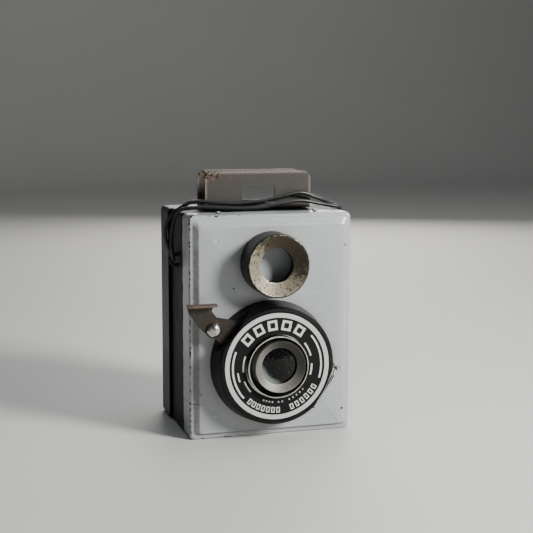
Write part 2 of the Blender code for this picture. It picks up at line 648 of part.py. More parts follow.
# blade: hub, lobe over the stop, forked tail round the ring's pin
bx, bz = BLADE_C
fork = math.atan2(BLADE_PIN_C[1] - bz, BLADE_PIN_C[0] - bx)
fork_u = (math.cos(fork), math.sin(fork))
LOBE_R = 1.8
outline = disc_outline(bx, LENS_Z, LOBE_R, 190.0, 350.0, 10)
outline += [(bx + 1.2, bz - 3.0), (bx + 1.7, bz - 0.8)]
for along, across in ((0.8, -1.9), (5.6, -1.8), (5.6, -0.8), (3.1, -0.8), (3.1, 0.8), (5.6, 0.8), (5.6, 1.8),
                      (0.8, 1.9)):
    outline.append((bx + fork_u[0] * along - fork_u[1] * across, bz + fork_u[1] * along + fork_u[0] * across))
outline += [(bx - 1.7, bz - 0.8), (bx - 1.2, bz - 3.0)]
shutter_blade = finish("shutter_blade", prism(outline, BLADE_Y0, BLADE_Y1), STEEL, (bx, BLADE_Y0, bz))
boolean(shutter_blade, [hole("Y", BLADE_C, 0.9, BLADE_Y0 - 1.0, BLADE_Y1 + 1.0)])
prof = ((0.0, BLADE_Y0 - 0.15), (0.6, BLADE_Y0 - 0.15), (0.6, BASE_Y1 + GAP), (1.1, BASE_Y1 + GAP),
        (1.1, BASE_Y1 + GAP + 0.3), (0.0, BASE_Y1 + GAP + 0.3))
blade_pivot = finish("blade_pivot", revolve("Y", BLADE_C, prof, SEG_S, loop=False), TIN)

# release lever: finger plate and arm in front view, and a fork that meets the ring's pin
arm = Vector((DRIVE_C[0] - LEVER_C[0], DRIVE_C[1] - LEVER_C[1]))
ARM_L = arm.length
arm_u = arm.normalized()


def lever_point(p):
    return (LEVER_C[0] + p[0], LEVER_C[1] + p[1])


def fork_point(along, across):
    return (arm_u.x * along - arm_u.y * across, arm_u.y * along + arm_u.x * across)


local = [(-8.0, 7.7), (-7.3, 5.0), (-4.2, 0.6)]
local += disc_outline(0.0, 0.0, 2.5, 205.0, 275.0, 5)
local += [fork_point(ARM_L - 2.0, -1.9), fork_point(ARM_L + 1.2, -1.8), fork_point(ARM_L + 1.4, -0.9)]
local += [fork_point(ARM_L - 0.9, -0.9), fork_point(ARM_L - 1.15, 0.0), fork_point(ARM_L - 0.9, 0.9)]
local += [fork_point(ARM_L + 1.4, 0.9), fork_point(ARM_L + 1.2, 1.8), fork_point(ARM_L - 0.4, 2.6)]
local += [(7.0, 0.6), (6.7, 2.2), (4.3, 2.9), (0.9, 3.6), (-0.6, 5.6), (0.4, 7.7)]
lever_origin = (LEVER_C[0], LEVER_Y0, LEVER_C[1])
outline = [lever_point(p) for p in local]
shutter_lever = finish("shutter_lever", prism(outline, LEVER_Y0, LEVER_Y1), BRASS, lever_origin)
tab = [(-8.0, 7.15), (0.3, 7.15), (0.6, 7.75), (-8.0, 7.75)]
tab_bm = prism([lever_point(p) for p in tab], LEVER_Y0 - 3.0, LEVER_Y0 + 0.3)
boolean(shutter_lever, [tab_bm], "UNION")
boolean(shutter_lever, [hole("Y", LEVER_C, 1.2, LEVER_Y0 - 2.0, LEVER_Y1 + 2.0)])
rivet("lever_rivet", NICKEL, "Y", LEVER_C, LEVER_Y0 - GAP, 2.2, 1.35, 0.9,
      FIELD_Y + SHEET + GAP, 1.6, 0.3)
prof = ((1.2, LEVER_Y1 + GAP), (1.85, LEVER_Y1 + GAP), (1.85, FIELD_Y - GAP), (1.2, FIELD_Y - GAP))
lever_bush = finish("lever_bush", revolve("Y", LEVER_C, prof, 24), NICKEL)

# return spring in the drum's lower notch, with an open loop at each end
SPRING_Y = RING_Y0 - 1.5
prof = ((0.0, SPRING_Y - 1.3), (0.75, SPRING_Y - 1.3), (0.75, SPRING_Y - 0.75), (0.45, SPRING_Y - 0.6),
        (0.45, FIELD_Y + SHEET + GAP), (1.1, FIELD_Y + SHEET + GAP), (1.1, FIELD_Y + SHEET + 0.6),
        (0.0, FIELD_Y + SHEET + 0.6))
spring_post = finish("spring_post", revolve("Y", POST_C, prof, SEG_S, loop=False), NICKEL)


def spring_points():
    """Hook, coils and hook between the fixed post and the ring's tail."""
    a = Vector((POST_C[0], SPRING_Y, POST_C[1]))
    b = Vector((TAIL_C[0], SPRING_Y, TAIL_C[1]))
    u = (b - a).normalized()
    v = Vector((0.0, 1.0, 0.0))
    w = u.cross(v)
    hook = 0.45 + GAP + 0.2
    pts = []
    for i in range(9):
        t = math.radians(150.0 - 300.0 * i / 8)
        pts.append(a + u * (-hook * math.cos(t)) + w * (hook * math.sin(t)))
    pts = pts[:7]
    length = (b - a).length
    start = 2.3
    stop = length - 2.1
    turns = 13
    steps = turns * 8
    coil = 0.5
    for i in range(steps + 1):
        t = 2.0 * math.pi * turns * i / steps
        pts.append(a + u * (start + (stop - start) * i / steps) + v * (coil * math.cos(t)) + w * (coil * math.sin(t)))
    for i in range(7):
        t = math.radians(-90.0 + 240.0 * i / 6)
        pts.append(b + u * (hook * math.sin(t)) + w * (hook * -math.cos(t)))
    return pts


return_spring = finish("return_spring", tube_along(spring_points(), 0.14, 5), STEEL)

# ---- light box and film path --------------------------------------------


def square_ring(y, half, r=0.5):
    return frame_ring(y, AXIS_X - half, AXIS_X + half, LENS_Z - half, LENS_Z + half, r, 3)


box_y = SHELL_FRONT + SHELL + GAP
rows = [
    square_ring(box_y, 5.0),
    square_ring(GATE_Y, 12.9),
    square_ring(GATE_Y, 13.6),
    square_ring(GATE_Y + 0.6, 13.6),
    square_ring(GATE_Y + 0.6, 12.2),
    square_ring(box_y, 4.4),
]
light_box = finish("light_box", loft(rows, loop=True), FELT)

for dz, word in ((ROLL_OFF, "top"), (-ROLL_OFF, "bottom")):
    c = (ROLL_Y, LENS_Z + dz)
    half = SPOOL_LEN / 2.0 - 1.0
    prof = ((0.9, -half), (ROLL_R, -half), (ROLL_R, half), (0.9, half))
    finish("film_roller_" + word, revolve("X", c, prof, 16), KNOB, (0.0, c[0], c[1]))
    end = HALF_W - 0.15
    prof = ((0.0, -end), (0.6, -end), (0.6, end), (0.0, end))
    finish("roller_pin_" + word, revolve("X", c, prof, 14, loop=False), TIN)


def spool(name, c, flange, core, bore):
    h = SPOOL_LEN / 2.0
    prof = (
        (bore, -h), (flange - 0.2, -h), (flange, -h + 0.25), (flange, -h + 0.7), (core, -h + 0.9),
        (core, h - 0.9), (flange, h - 0.7), (flange, h - 0.25), (flange - 0.2, h), (bore, h),
    )
    return finish(name, revolve("X", c, prof, 32), SPOOLM, (0.0, c[0], c[1]))


spool("supply_spool", (SUP_Y, SUP_Z), SUP_FR, 2.0, 0.95)
spool("takeup_spool", (TAKE_Y, TAKE_Z), TAKE_FR, 3.0, 1.45)


def stub_pin(name, c, x_in, x_out, r, wide):
    """Bearing stub with a collar between the spool and the wall."""
    s = 1.0 if x_out > 0 else -1.0
    mid = s * (SPOOL_LEN / 2.0 + GAP)
    prof = ((0.0, x_in), (r, x_in), (r, mid), (wide, mid), (wide, mid + s * 1.0), (r, mid + s * 1.0),
            (r, x_out), (0.0, x_out))
    return finish(name, revolve("X", c, prof, SEG_S, loop=False), TIN)


h = SPOOL_LEN / 2.0
SUP_END = HALF_W - STEP - 0.15
stub_pin("supply_pin_left", (SUP_Y, SUP_Z), -h + 5.0, -SUP_END, 0.6, 1.4)
stub_pin("supply_pin_right", (SUP_Y, SUP_Z), h - 5.0, SUP_END, 0.6, 1.4)
stub_pin("takeup_pin_left", (TAKE_Y, TAKE_Z), -h + 5.0, -HALF_W + 0.15, 0.6, 2.0)

# winding knob, shaft and washer on the far side
KNOB_X0 = COVER_HALF + 0.5
KNOB_X1 = KNOB_X0 + 3.4
take_c = (TAKE_Y, TAKE_Z)
take_o = (0.0, TAKE_Y, TAKE_Z)
prof = ((0.0, h - 5.0), (1.0, h - 5.0), (1.0, KNOB_X1 - 1.2), (0.0, KNOB_X1 - 1.2))
wind_shaft = finish("wind_shaft", revolve("X", take_c, prof, SEG_S, loop=False), TIN, take_o)
prof = ((1.3, HALF_W + GAP), (2.3, HALF_W + GAP), (2.3, HALF_W + GAP + 0.4), (1.3, HALF_W + GAP + 0.4))
knob_washer = finish("knob_washer", revolve("X", take_c, prof, 24), TIN)


def knurled(name):
    """Knob with a ribbed edge and a shallow dished face, open to the shaft at the back."""
    seg = 48
    bm = bmesh.new()
    prof = (
        (1.3, KNOB_X0, 0), (KNOB_R - 0.5, KNOB_X0, 0), (KNOB_R, KNOB_X0 + 0.4, 1), (KNOB_R, KNOB_X1 - 0.5, 1),
        (KNOB_R - 0.5, KNOB_X1, 0), (KNOB_R - 1.4, KNOB_X1, 0), (KNOB_R - 1.8, KNOB_X1 - 0.4, 0),
        (0.0, KNOB_X1 - 0.3, 0), (0.0, KNOB_X1 - 0.9, 0), (1.3, KNOB_X1 - 0.9, 0),
    )
    rows = []
    for r, x, rib in prof:
        if r == 0.0:
            rows.append([bm.verts.new(place("X", take_c, x, 0.0, 0.0))])
            continue
        row = []
        for i in range(seg):
            rr = r - (0.22 if rib and i % 2 else 0.0)
            row.append(bm.verts.new(place("X", take_c, x, rr, 2.0 * math.pi * i / seg)))
        rows.append(row)
    order = list(zip(rows, rows[1:])) + [(rows[-1], rows[0])]
    for a, b in order:
        if len(a) == 1 and len(b) == 1:
            continue
        for i in range(seg):
            j = (i + 1) % seg
            if len(a) == 1:
                bm.faces.new((a[0], b[j], b[i]))
            elif len(b) == 1:
                bm.faces.new((a[i], a[j], b[0]))
            else:
                bm.faces.new((a[i], a[j], b[j], b[i]))
    return finish(name, bm, KNOB, take_o)


wind_knob = knurled("wind_knob")

# ---- front pins and finder ----------------------------------------------
for sx, side in ((-1.0, "left"), (1.0, "right")):
    rivet("front_pin_" + side, NICKEL, "Z", (sx * PIN_X, PIN_Y), TOP + GAP, 1.0, 0.5, 0.5,
          TOP - STEP - SHELL - GAP, 0.5, 0.3)

FIN_BASE = TOP + GAP                  # underside of the bracket's foot
FIN_H = FINDER_W / 2.0
out_r = 1.1
in_r = out_r - SHEET


def arc(cy, cz, r, start, end, n=4):
    pts = []
    for i in range(n + 1):
        a = math.radians(start + (end - start) * i / n)
        pts.append((cy + r * math.cos(a), cz + r * math.sin(a)))
    return pts


section = [(FIN_Y0, FINDER_TOP)]
section += arc(FIN_Y0 + out_r, FIN_BASE + out_r, out_r, 180.0, 270.0)
section += arc(FIN_Y1 - out_r, FIN_BASE + out_r, out_r, 270.0, 360.0)
section += [(FIN_Y1, FINDER_TOP), (FIN_Y1 - SHEET, FINDER_TOP)]
section += arc(FIN_Y1 - out_r, FIN_BASE + out_r, in_r, 360.0, 270.0)
section += arc(FIN_Y0 + out_r, FIN_BASE + out_r, in_r, 270.0, 180.0)
section += [(FIN_Y0 + SHEET, FINDER_TOP)]
lower = [Vector((-FIN_H, p[0], p[1])) for p in section]
upper = [Vector((FIN_H, p[0], p[1])) for p in section]
finder_bracket = finish("finder_bracket", loft([lower, upper]), FINDER)
keep = []
keep += disc_outline(FIN_H - 2.4, FINDER_TOP - 2.4, 2.4, 0.0, 90.0, 6)
keep += disc_outline(-FIN_H + 2.4, FINDER_TOP - 2.4, 2.4, 90.0, 180.0, 6)
keep += [(-FIN_H, FIN_BASE - 1.0), (FIN_H, FIN_BASE - 1.0)]
boolean(finder_bracket, [prism(keep, FIN_Y0 - 1.0, FIN_Y1 + 1.0)], "INTERSECT")
WIN_TOP = FINDER_TOP - 4.0
FRONT_WIN = 5.2
REAR_WIN = 8.6


def slot(half, z0, z1, y0, y1):
    ring = frame_ring(y0, -half, half, z0, z1, 0.5, 3)
    far = frame_ring(y1, -half, half, z0, z1, 0.5, 3)
    return loft([ring, far])


finder_cuts = [
    slot(FRONT_WIN, TOP + 2.2, WIN_TOP, FIN_Y0 - 1.0, FIN_Y0 + 2.0),
    slot(REAR_WIN, TOP + 2.2, WIN_TOP + 1.2, FIN_Y1 - 2.0, FIN_Y1 + 1.0),
]
for sx in (-1.0, 1.0):
    finder_cuts.append(hole("Z", (sx * RIV_X, RIV_Y), 1.0, FIN_BASE - 1.0, FIN_BASE + 2.0))
boolean(finder_bracket, finder_cuts)
for sx, side in ((-1.0, "left"), (1.0, "right")):
    rivet("finder_rivet_" + side, NICKEL, "Z", (sx * RIV_X, RIV_Y), FIN_BASE + SHEET + GAP, 1.6, 0.7, 0.7,
          TOP - SHELL - GAP, 1.4, 0.3)

# ---- strap lugs ---------------------------------------------------------
for sx, side in ((-1.0, "left"), (1.0, "right")):
    pts = []
    bend = HALF_W + 0.6
    for i in range(4):
        pts.append(Vector((sx * (bend - 2.5 + 2.5 * i / 3.0), LUG_Y, LUG_Z - LUG_HALF)))
    for i in range(1, 8):
        a = math.radians(-90.0 + 180.0 * i / 8)
        pts.append(Vector((sx * (bend + LUG_HALF * math.cos(a)), LUG_Y, LUG_Z + LUG_HALF * math.sin(a))))
    for i in range(4):
        pts.append(Vector((sx * (bend - 2.5 * i / 3.0), LUG_Y, LUG_Z + LUG_HALF)))
    finish("strap_lug_" + side, tube_along(pts, 0.55, 10), NICKEL)

# ---- strap: two strands of cord over the top, in front of the finder ------
CORD_R = 0.58
EDGE = HALF_W + 1.5                   # where the strands come through the lugs
STRAP_A = [
    (-EDGE, LUG_Y + 0.8, LUG_Z), (-EDGE - 0.6, LUG_Y + 1.5, LUG_Z + 2.3),
    (-EDGE - 2.1, LUG_Y + 1.0, LUG_Z + 7.7), (-EDGE - 0.8, LUG_Y - 1.0, TOP - 1.4),
    (-HALF_W + 1.8, LUG_Y - 2.7, TOP + 2.0), (-HALF_W + 5.2, LUG_Y - 3.4, TOP + 3.1),
    (-HALF_W + 12.3, LUG_Y - 4.0, TOP + 2.5), (-6.6, LUG_Y - 4.2, TOP + 2.3),
    (0.3, LUG_Y - 4.3, TOP + 2.9), (6.0, LUG_Y - 4.2, TOP + 4.0), (HALF_W - 12.4, LUG_Y - 3.8, TOP + 5.2),
    (HALF_W - 6.4, LUG_Y - 3.2, TOP + 3.4), (HALF_W - 2.1, LUG_Y - 2.4, TOP + 1.7),
    (HALF_W + 0.7, LUG_Y - 1.7, TOP + 0.5), (HALF_W + 2.1, LUG_Y - 0.7, TOP - 2.2),
    (EDGE + 1.2, LUG_Y + 0.7, LUG_Z + 7.7), (EDGE + 0.6, LUG_Y + 1.3, LUG_Z + 2.7),
    (EDGE, LUG_Y + 0.8, LUG_Z),
]
STRAP_B = [
    (-EDGE, LUG_Y - 0.8, LUG_Z), (-EDGE - 0.5, LUG_Y - 1.7, LUG_Z + 2.3),
    (-EDGE - 0.8, LUG_Y - 1.7, LUG_Z + 7.7), (-EDGE - 0.1, LUG_Y - 3.3, TOP - 1.8),
    (-HALF_W - 0.5, LUG_Y - 4.1, TOP + 0.6),
    (-HALF_W + 2.7, LUG_Y - 4.8, TOP + 1.3), (-HALF_W + 7.3, LUG_Y - 5.4, TOP + 1.4),
    (-HALF_W + 13.4, LUG_Y - 5.8, TOP + 1.1), (-5.5, LUG_Y - 6.0, TOP + 0.95),
    (-0.2, LUG_Y - 6.1, TOP + 1.1), (5.6, LUG_Y - 6.0, TOP + 2.2), (HALF_W - 12.9, LUG_Y - 5.5, TOP + 2.9),
    (HALF_W - 6.9, LUG_Y - 4.9, TOP + 1.9), (HALF_W - 2.2, LUG_Y - 4.0, TOP + 1.0),
    (HALF_W + 0.4, LUG_Y - 3.5, TOP + 0.5), (HALF_W + 1.5, LUG_Y - 2.7, TOP - 1.8),
    (EDGE + 0.4, LUG_Y - 1.9, LUG_Z + 7.7), (EDGE + 0.5, LUG_Y - 1.7, LUG_Z + 2.7),
    (EDGE, LUG_Y - 0.8, LUG_Z),
]
cord("strap_back", STRAP_A, CORD_R, 42, CORDM)
cord("strap_front", STRAP_B, CORD_R, 42, CORDM)
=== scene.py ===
import math

import bmesh
import bpy
from mathutils import Matrix, Vector, noise


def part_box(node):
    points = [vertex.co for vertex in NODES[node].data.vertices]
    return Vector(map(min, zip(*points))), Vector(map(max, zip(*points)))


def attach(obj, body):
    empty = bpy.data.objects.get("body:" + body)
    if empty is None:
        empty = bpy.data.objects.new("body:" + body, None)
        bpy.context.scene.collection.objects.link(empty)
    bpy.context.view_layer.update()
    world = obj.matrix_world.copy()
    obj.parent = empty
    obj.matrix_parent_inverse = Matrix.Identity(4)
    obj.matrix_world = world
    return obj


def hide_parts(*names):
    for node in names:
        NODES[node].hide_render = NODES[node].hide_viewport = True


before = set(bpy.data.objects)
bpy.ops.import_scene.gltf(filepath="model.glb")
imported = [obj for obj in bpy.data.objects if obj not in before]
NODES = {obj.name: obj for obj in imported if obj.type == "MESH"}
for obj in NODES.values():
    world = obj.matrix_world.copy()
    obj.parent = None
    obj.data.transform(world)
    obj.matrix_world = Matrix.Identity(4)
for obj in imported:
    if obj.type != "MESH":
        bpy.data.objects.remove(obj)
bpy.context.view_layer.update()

MM = 0.001


# ---- places, taken from the frame ---------------------------------------
def box_mm(node):
    """Lowest and highest corner of a node, in millimetres."""
    low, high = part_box(node)
    return low / MM, high / MM


TRAY_LOW, TRAY_HIGH = box_mm("front_plate")
HALF_W = TRAY_HIGH.x
TOP = TRAY_HIGH.z
FIELD_Y = TRAY_LOW.y                 # face of the raised field
RIM_Y = FIELD_Y + 1.0                # rim plane of the tray
TRAY_END = TRAY_HIGH.y               # rear edge of the tray's flange
PLATE_LOW, PLATE_HIGH = box_mm("name_plate")
AXIS_X = (PLATE_LOW.x + PLATE_HIGH.x) / 2.0
LENS_Z = (PLATE_LOW.z + PLATE_HIGH.z) / 2.0
NAME_R = (PLATE_HIGH.x - PLATE_LOW.x) / 2.0
PLATE_Y = PLATE_LOW.y                # front of the plate's white rim
DRUM_LOW, DRUM_HIGH = box_mm("shutter_housing")
DRUM_R = (DRUM_HIGH.z - DRUM_LOW.z) / 2.0
VIEW_LOW, VIEW_HIGH = box_mm("view_ring")
VIEW_Z = (VIEW_LOW.z + VIEW_HIGH.z) / 2.0
VIEW_R = (VIEW_HIGH.z - VIEW_LOW.z) / 2.0
FINDER_HIGH = box_mm("finder_bracket")[1]
LUG_LOW, LUG_HIGH = box_mm("strap_lug_right")
LUG_Y = (LUG_LOW.y + LUG_HIGH.y) / 2.0
LUG_Z = (LUG_LOW.z + LUG_HIGH.z) / 2.0
RIVET_LOW, RIVET_HIGH = box_mm("lever_rivet")
POST_LOW, POST_HIGH = box_mm("spring_post")
LEVER_TOP = box_mm("shutter_lever")[1].z
CELL_LOW, CELL_HIGH = box_mm("lens_bezel")
CELL_X = (CELL_LOW.x + CELL_HIGH.x) / 2.0
EDGE = HALF_W + 1.5                  # where the strap comes through the lugs
SHEET = 0.6                          # thickness of the tray
FOLD_ANGLE = math.radians(32.0)      # edges sharper than this stay crisp


# ---- camera, lights and floor -------------------------------------------
def make_camera():
    """Camera a little to the left of the front and a little above it."""
    azimuth = math.radians(-16.583)
    height = math.radians(8.286)
    roll = math.radians(0.151)
    distance = 346.5
    flat = math.cos(height)
    back = Vector((math.sin(azimuth) * flat, -math.cos(azimuth) * flat, math.sin(height)))
    level = Vector((math.cos(azimuth), math.sin(azimuth), 0.0))
    rise = back.cross(level)
    right = level * math.cos(roll) + rise * math.sin(roll)
    up = rise * math.cos(roll) - level * math.sin(roll)
    aim = Vector((-1.5, RIM_Y, 51.4))
    data = bpy.data.cameras.new("camera")
    data.sensor_width = 36.0
    data.lens = 78.9
    data.clip_start = 0.01
    data.clip_end = 20.0
    camera = bpy.data.objects.new("camera", data)
    camera.location = (aim + back * distance) * MM
    camera.rotation_euler = Matrix((right, up, back)).transposed().to_euler()
    bpy.context.scene.collection.objects.link(camera)
    bpy.context.scene.camera = camera


def area_light(name, place, aim, size, power, colour):
    """Round soft light of that width in millimetres, turned to its aim."""
    data = bpy.data.lights.new(name, "AREA")
    data.shape = "DISK"
    data.size = size * MM
    data.energy = power
    data.color = colour
    lamp = bpy.data.objects.new(name, data)
    lamp.location = Vector(place) * MM
    way = Vector(aim) - Vector(place)
    lamp.rotation_euler = way.to_track_quat("-Z", "Y").to_euler()
    bpy.context.scene.collection.objects.link(lamp)


def make_lights():
    """Strong key light at the right, weaker lights round the camera and a dim sky."""
    middle = (0.0, -10.0, 35.0)
    area_light("key", (330.0, -370.0, 270.0), middle, 160.0, 5.6, (1.0, 0.985, 0.96))
    area_light("overhead", (60.0, 60.0, 520.0), middle, 380.0, 1.0, (0.92, 0.96, 1.0))
    area_light("front_fill", (-320.0, -520.0, 160.0), middle, 300.0, 0.10, (0.92, 0.96, 1.0))
    area_light("back_fill", (200.0, 480.0, 260.0), middle, 380.0, 1.6, (1.0, 0.98, 0.95))
    world = bpy.data.worlds.new("studio")
    world.use_nodes = True
    sky = world.node_tree.nodes["Background"]
    sky.inputs["Color"].default_value = (0.86, 0.90, 1.0, 1.0)
    sky.inputs["Strength"].default_value = 0.06
    bpy.context.scene.world = world


def make_floor(finish):
    """Flat sheet that curves up far behind the camera body."""
    half = 1500.0
    wall_foot = 900.0
    curve = 400.0
    profile = [(-half, 0.0), (wall_foot, 0.0)]
    for i in range(1, 13):
        turn = math.radians(90.0 * i / 12)
        profile.append((wall_foot + curve * math.sin(turn), curve - curve * math.cos(turn)))
    profile.append((wall_foot + curve, 1800.0))
    bm = bmesh.new()
    rows = []
    for x in (-half, half):
        rows.append([bm.verts.new((x, y, z)) for y, z in profile])
    for i in range(len(profile) - 1):
        bm.faces.new((rows[0][i], rows[1][i], rows[1][i + 1], rows[0][i + 1]))
    floor = mesh_object("floor", bm)
    floor.data.shade_smooth()
    floor.data.materials.append(finish)


# ---- node arithmetic ----------------------------------------------------
def paint(red, green, blue):
    """Linear colour of a paint chip given in the usual 0 to 255 steps."""
    linear = []
    for step in (red, green, blue):
        share = step / 255.0
        linear.append(share / 12.92 if share <= 0.04045 else ((share + 0.055) / 1.055) ** 2.4)
    return (linear[0], linear[1], linear[2], 1.0)


class Wire:
    """Output of a node that can be used in arithmetic."""

    def __init__(self, bench, socket):
        self.bench = bench
        self.socket = socket

    def math(self, operation, *values):
        """Math node on these values."""
        return self.bench.add("ShaderNodeMath", {"operation": operation}, dict(enumerate(values)))

    def beside(self, name):
        """Another output of the same node."""
        return Wire(self.bench, self.socket.node.outputs[name])

    def __add__(self, other):
        return self.math("ADD", self, other)

    def __radd__(self, other):
        return self.math("ADD", other, self)

    def __sub__(self, other):
        return self.math("SUBTRACT", self, other)

    def __rsub__(self, other):
        return self.math("SUBTRACT", other, self)

    def __mul__(self, other):
        return self.math("MULTIPLY", self, other)

    def __rmul__(self, other):
        return self.math("MULTIPLY", other, self)

    def __pow__(self, other):
        return self.math("POWER", self, other)

    def __rpow__(self, other):
        return self.math("POWER", other, self)

    def __abs__(self):
        return self.math("ABSOLUTE", self)

    def over(self, other):
        """The larger of two values."""
        return self.math("MAXIMUM", self, other)

    def under(self, other):
        """The smaller of two values."""
        return self.math("MINIMUM", self, other)


class Bench:
    """A node tree that is being built."""

    def __init__(self, tree):
        self.tree = tree

    def add(self, kind, settings=None, inputs=None, out=0):
        """A node of that type; its settings come first, then the values or links of its sockets."""
        node = self.tree.nodes.new(kind)
        for key, value in (settings or {}).items():
            setattr(node, key, value)
        for key, value in (inputs or {}).items():
            if isinstance(value, Wire):
                self.tree.links.new(value.socket, node.inputs[key])
            else:
                node.inputs[key].default_value = value
        return Wire(self, node.outputs[out])


class Finish(Bench):
    """One material; what is the same all over is set on the shader's own sockets."""

    def __init__(self, name, **sockets):
        self.material = bpy.data.materials.new(name)
        self.material.use_nodes = True
        super().__init__(self.material.node_tree)
        self.shader = self.tree.nodes["Principled BSDF"]
        self.set(**sockets)
        place = self.add("ShaderNodeTexCoord", out="Object")
        self.at = self.add("ShaderNodeVectorMath", {"operation": "SCALE"}, {0: place, "Scale": 1.0 / MM})
        self.x = self.add("ShaderNodeSeparateXYZ", inputs={0: self.at})
        self.y = self.x.beside("Y")
        self.z = self.x.beside("Z")

    def span(self, value, low, high):
        """0 at low, 1 at high, with soft ends."""
        settings = {"interpolation_type": "SMOOTHSTEP"}
        return self.add("ShaderNodeMapRange", settings, {"Value": value, "From Min": low, "From Max": high})

    def shifted(self, seed, stretch=(1.0, 1.0, 1.0), turn=(0.0, 0.0, 0.0)):
        """The place on the object, moved for each seed so that patterns don't repeat."""
        inputs = {
            "Vector": self.at,
            "Location": (seed * 13.7, seed * 7.9, seed * 3.1),
            "Rotation": tuple(math.radians(a) for a in turn),
            "Scale": stretch,
        }
        return self.add("ShaderNodeMapping", inputs=inputs)

    def grain(self, scale, detail, rough, seed, stretch=(1.0, 1.0, 1.0), turn=(0.0, 0.0, 0.0)):
        """Noise from 0 to 1, with scale in features per millimetre."""
        place = self.shifted(seed, stretch, turn)
        inputs = {"Vector": place, "Scale": scale, "Detail": detail, "Roughness": rough}
        return self.add("ShaderNodeTexNoise", inputs=inputs)

    def specks(self, scale, size, seed):
        """Round spots of mixed sizes, none larger than size, with scale in cells per millimetre."""
        inputs = {"Vector": self.shifted(seed), "Scale": scale, "Randomness": 1.0}
        cell = self.add("ShaderNodeTexVoronoi", inputs=inputs)
        chance = self.add("ShaderNodeSeparateXYZ", inputs={0: cell.beside("Color")})
        reach = (chance ** 3.0) * (size * scale)
        return self.span(cell - reach, 0.02, -0.03)

    def scratches(self, seed, turn, fine=0.006, stretch=18.0):
        """Thin straight marks that run along the turned X axis."""
        lines = self.grain(0.55, 2.0, 0.4, seed, (1.0 / stretch, 1.0, 1.0), turn)
        gaps = self.grain(0.16, 2.0, 0.5, seed + 4.0)
        return self.span(abs(lines - 0.5), fine, 0.0) * self.span(gaps, 0.50, 0.62)

    def mix(self, first, second, share):
        """First colour where share is 0, second where it is 1."""
        inputs = {0: share, 6: first, 7: second}
        return self.add("ShaderNodeMix", {"data_type": "RGBA"}, inputs, out=2)

    def radius(self, centre_x, centre_z):
        """Distance from an axis that runs front to back."""
        dx = self.x - centre_x
        dz = self.z - centre_z
        return (dx * dx + dz * dz) ** 0.5

    def set(self, **values):
        """Links or sets the shader's inputs, such as Base_Color or Roughness."""
        for key, value in values.items():
            socket = self.shader.inputs[key.replace("_", " ")]
            if isinstance(value, Wire):
                self.tree.links.new(value.socket, socket)
            else:
                socket.default_value = value

    def relief(self, height, depth):
        """Bump of that depth in millimetres where height goes from 0 to 1."""
        inputs = {"Strength": 1.0, "Distance": depth * MM, "Height": height}
        self.set(Normal=self.add("ShaderNodeBump", inputs=inputs, out="Normal"))


# ---- finishes -----------------------------------------------------------
ENAMEL_CHIPS = (                     # x, z and radius of the single chips in the tray's face
    (23.1, 57.2, 0.34), (-11.9, 45.4, 0.26), (19.7, 32.7, 0.16), (22.4, 6.7, 0.36),
)
CUT_Z = 10.6                         # height of the cut across the left slope
RING_IN = 1.44                       # how far in from the plate's edge its white rim ring starts
RING_SOFT = 0.06                     # how soft the ring's inner edge is


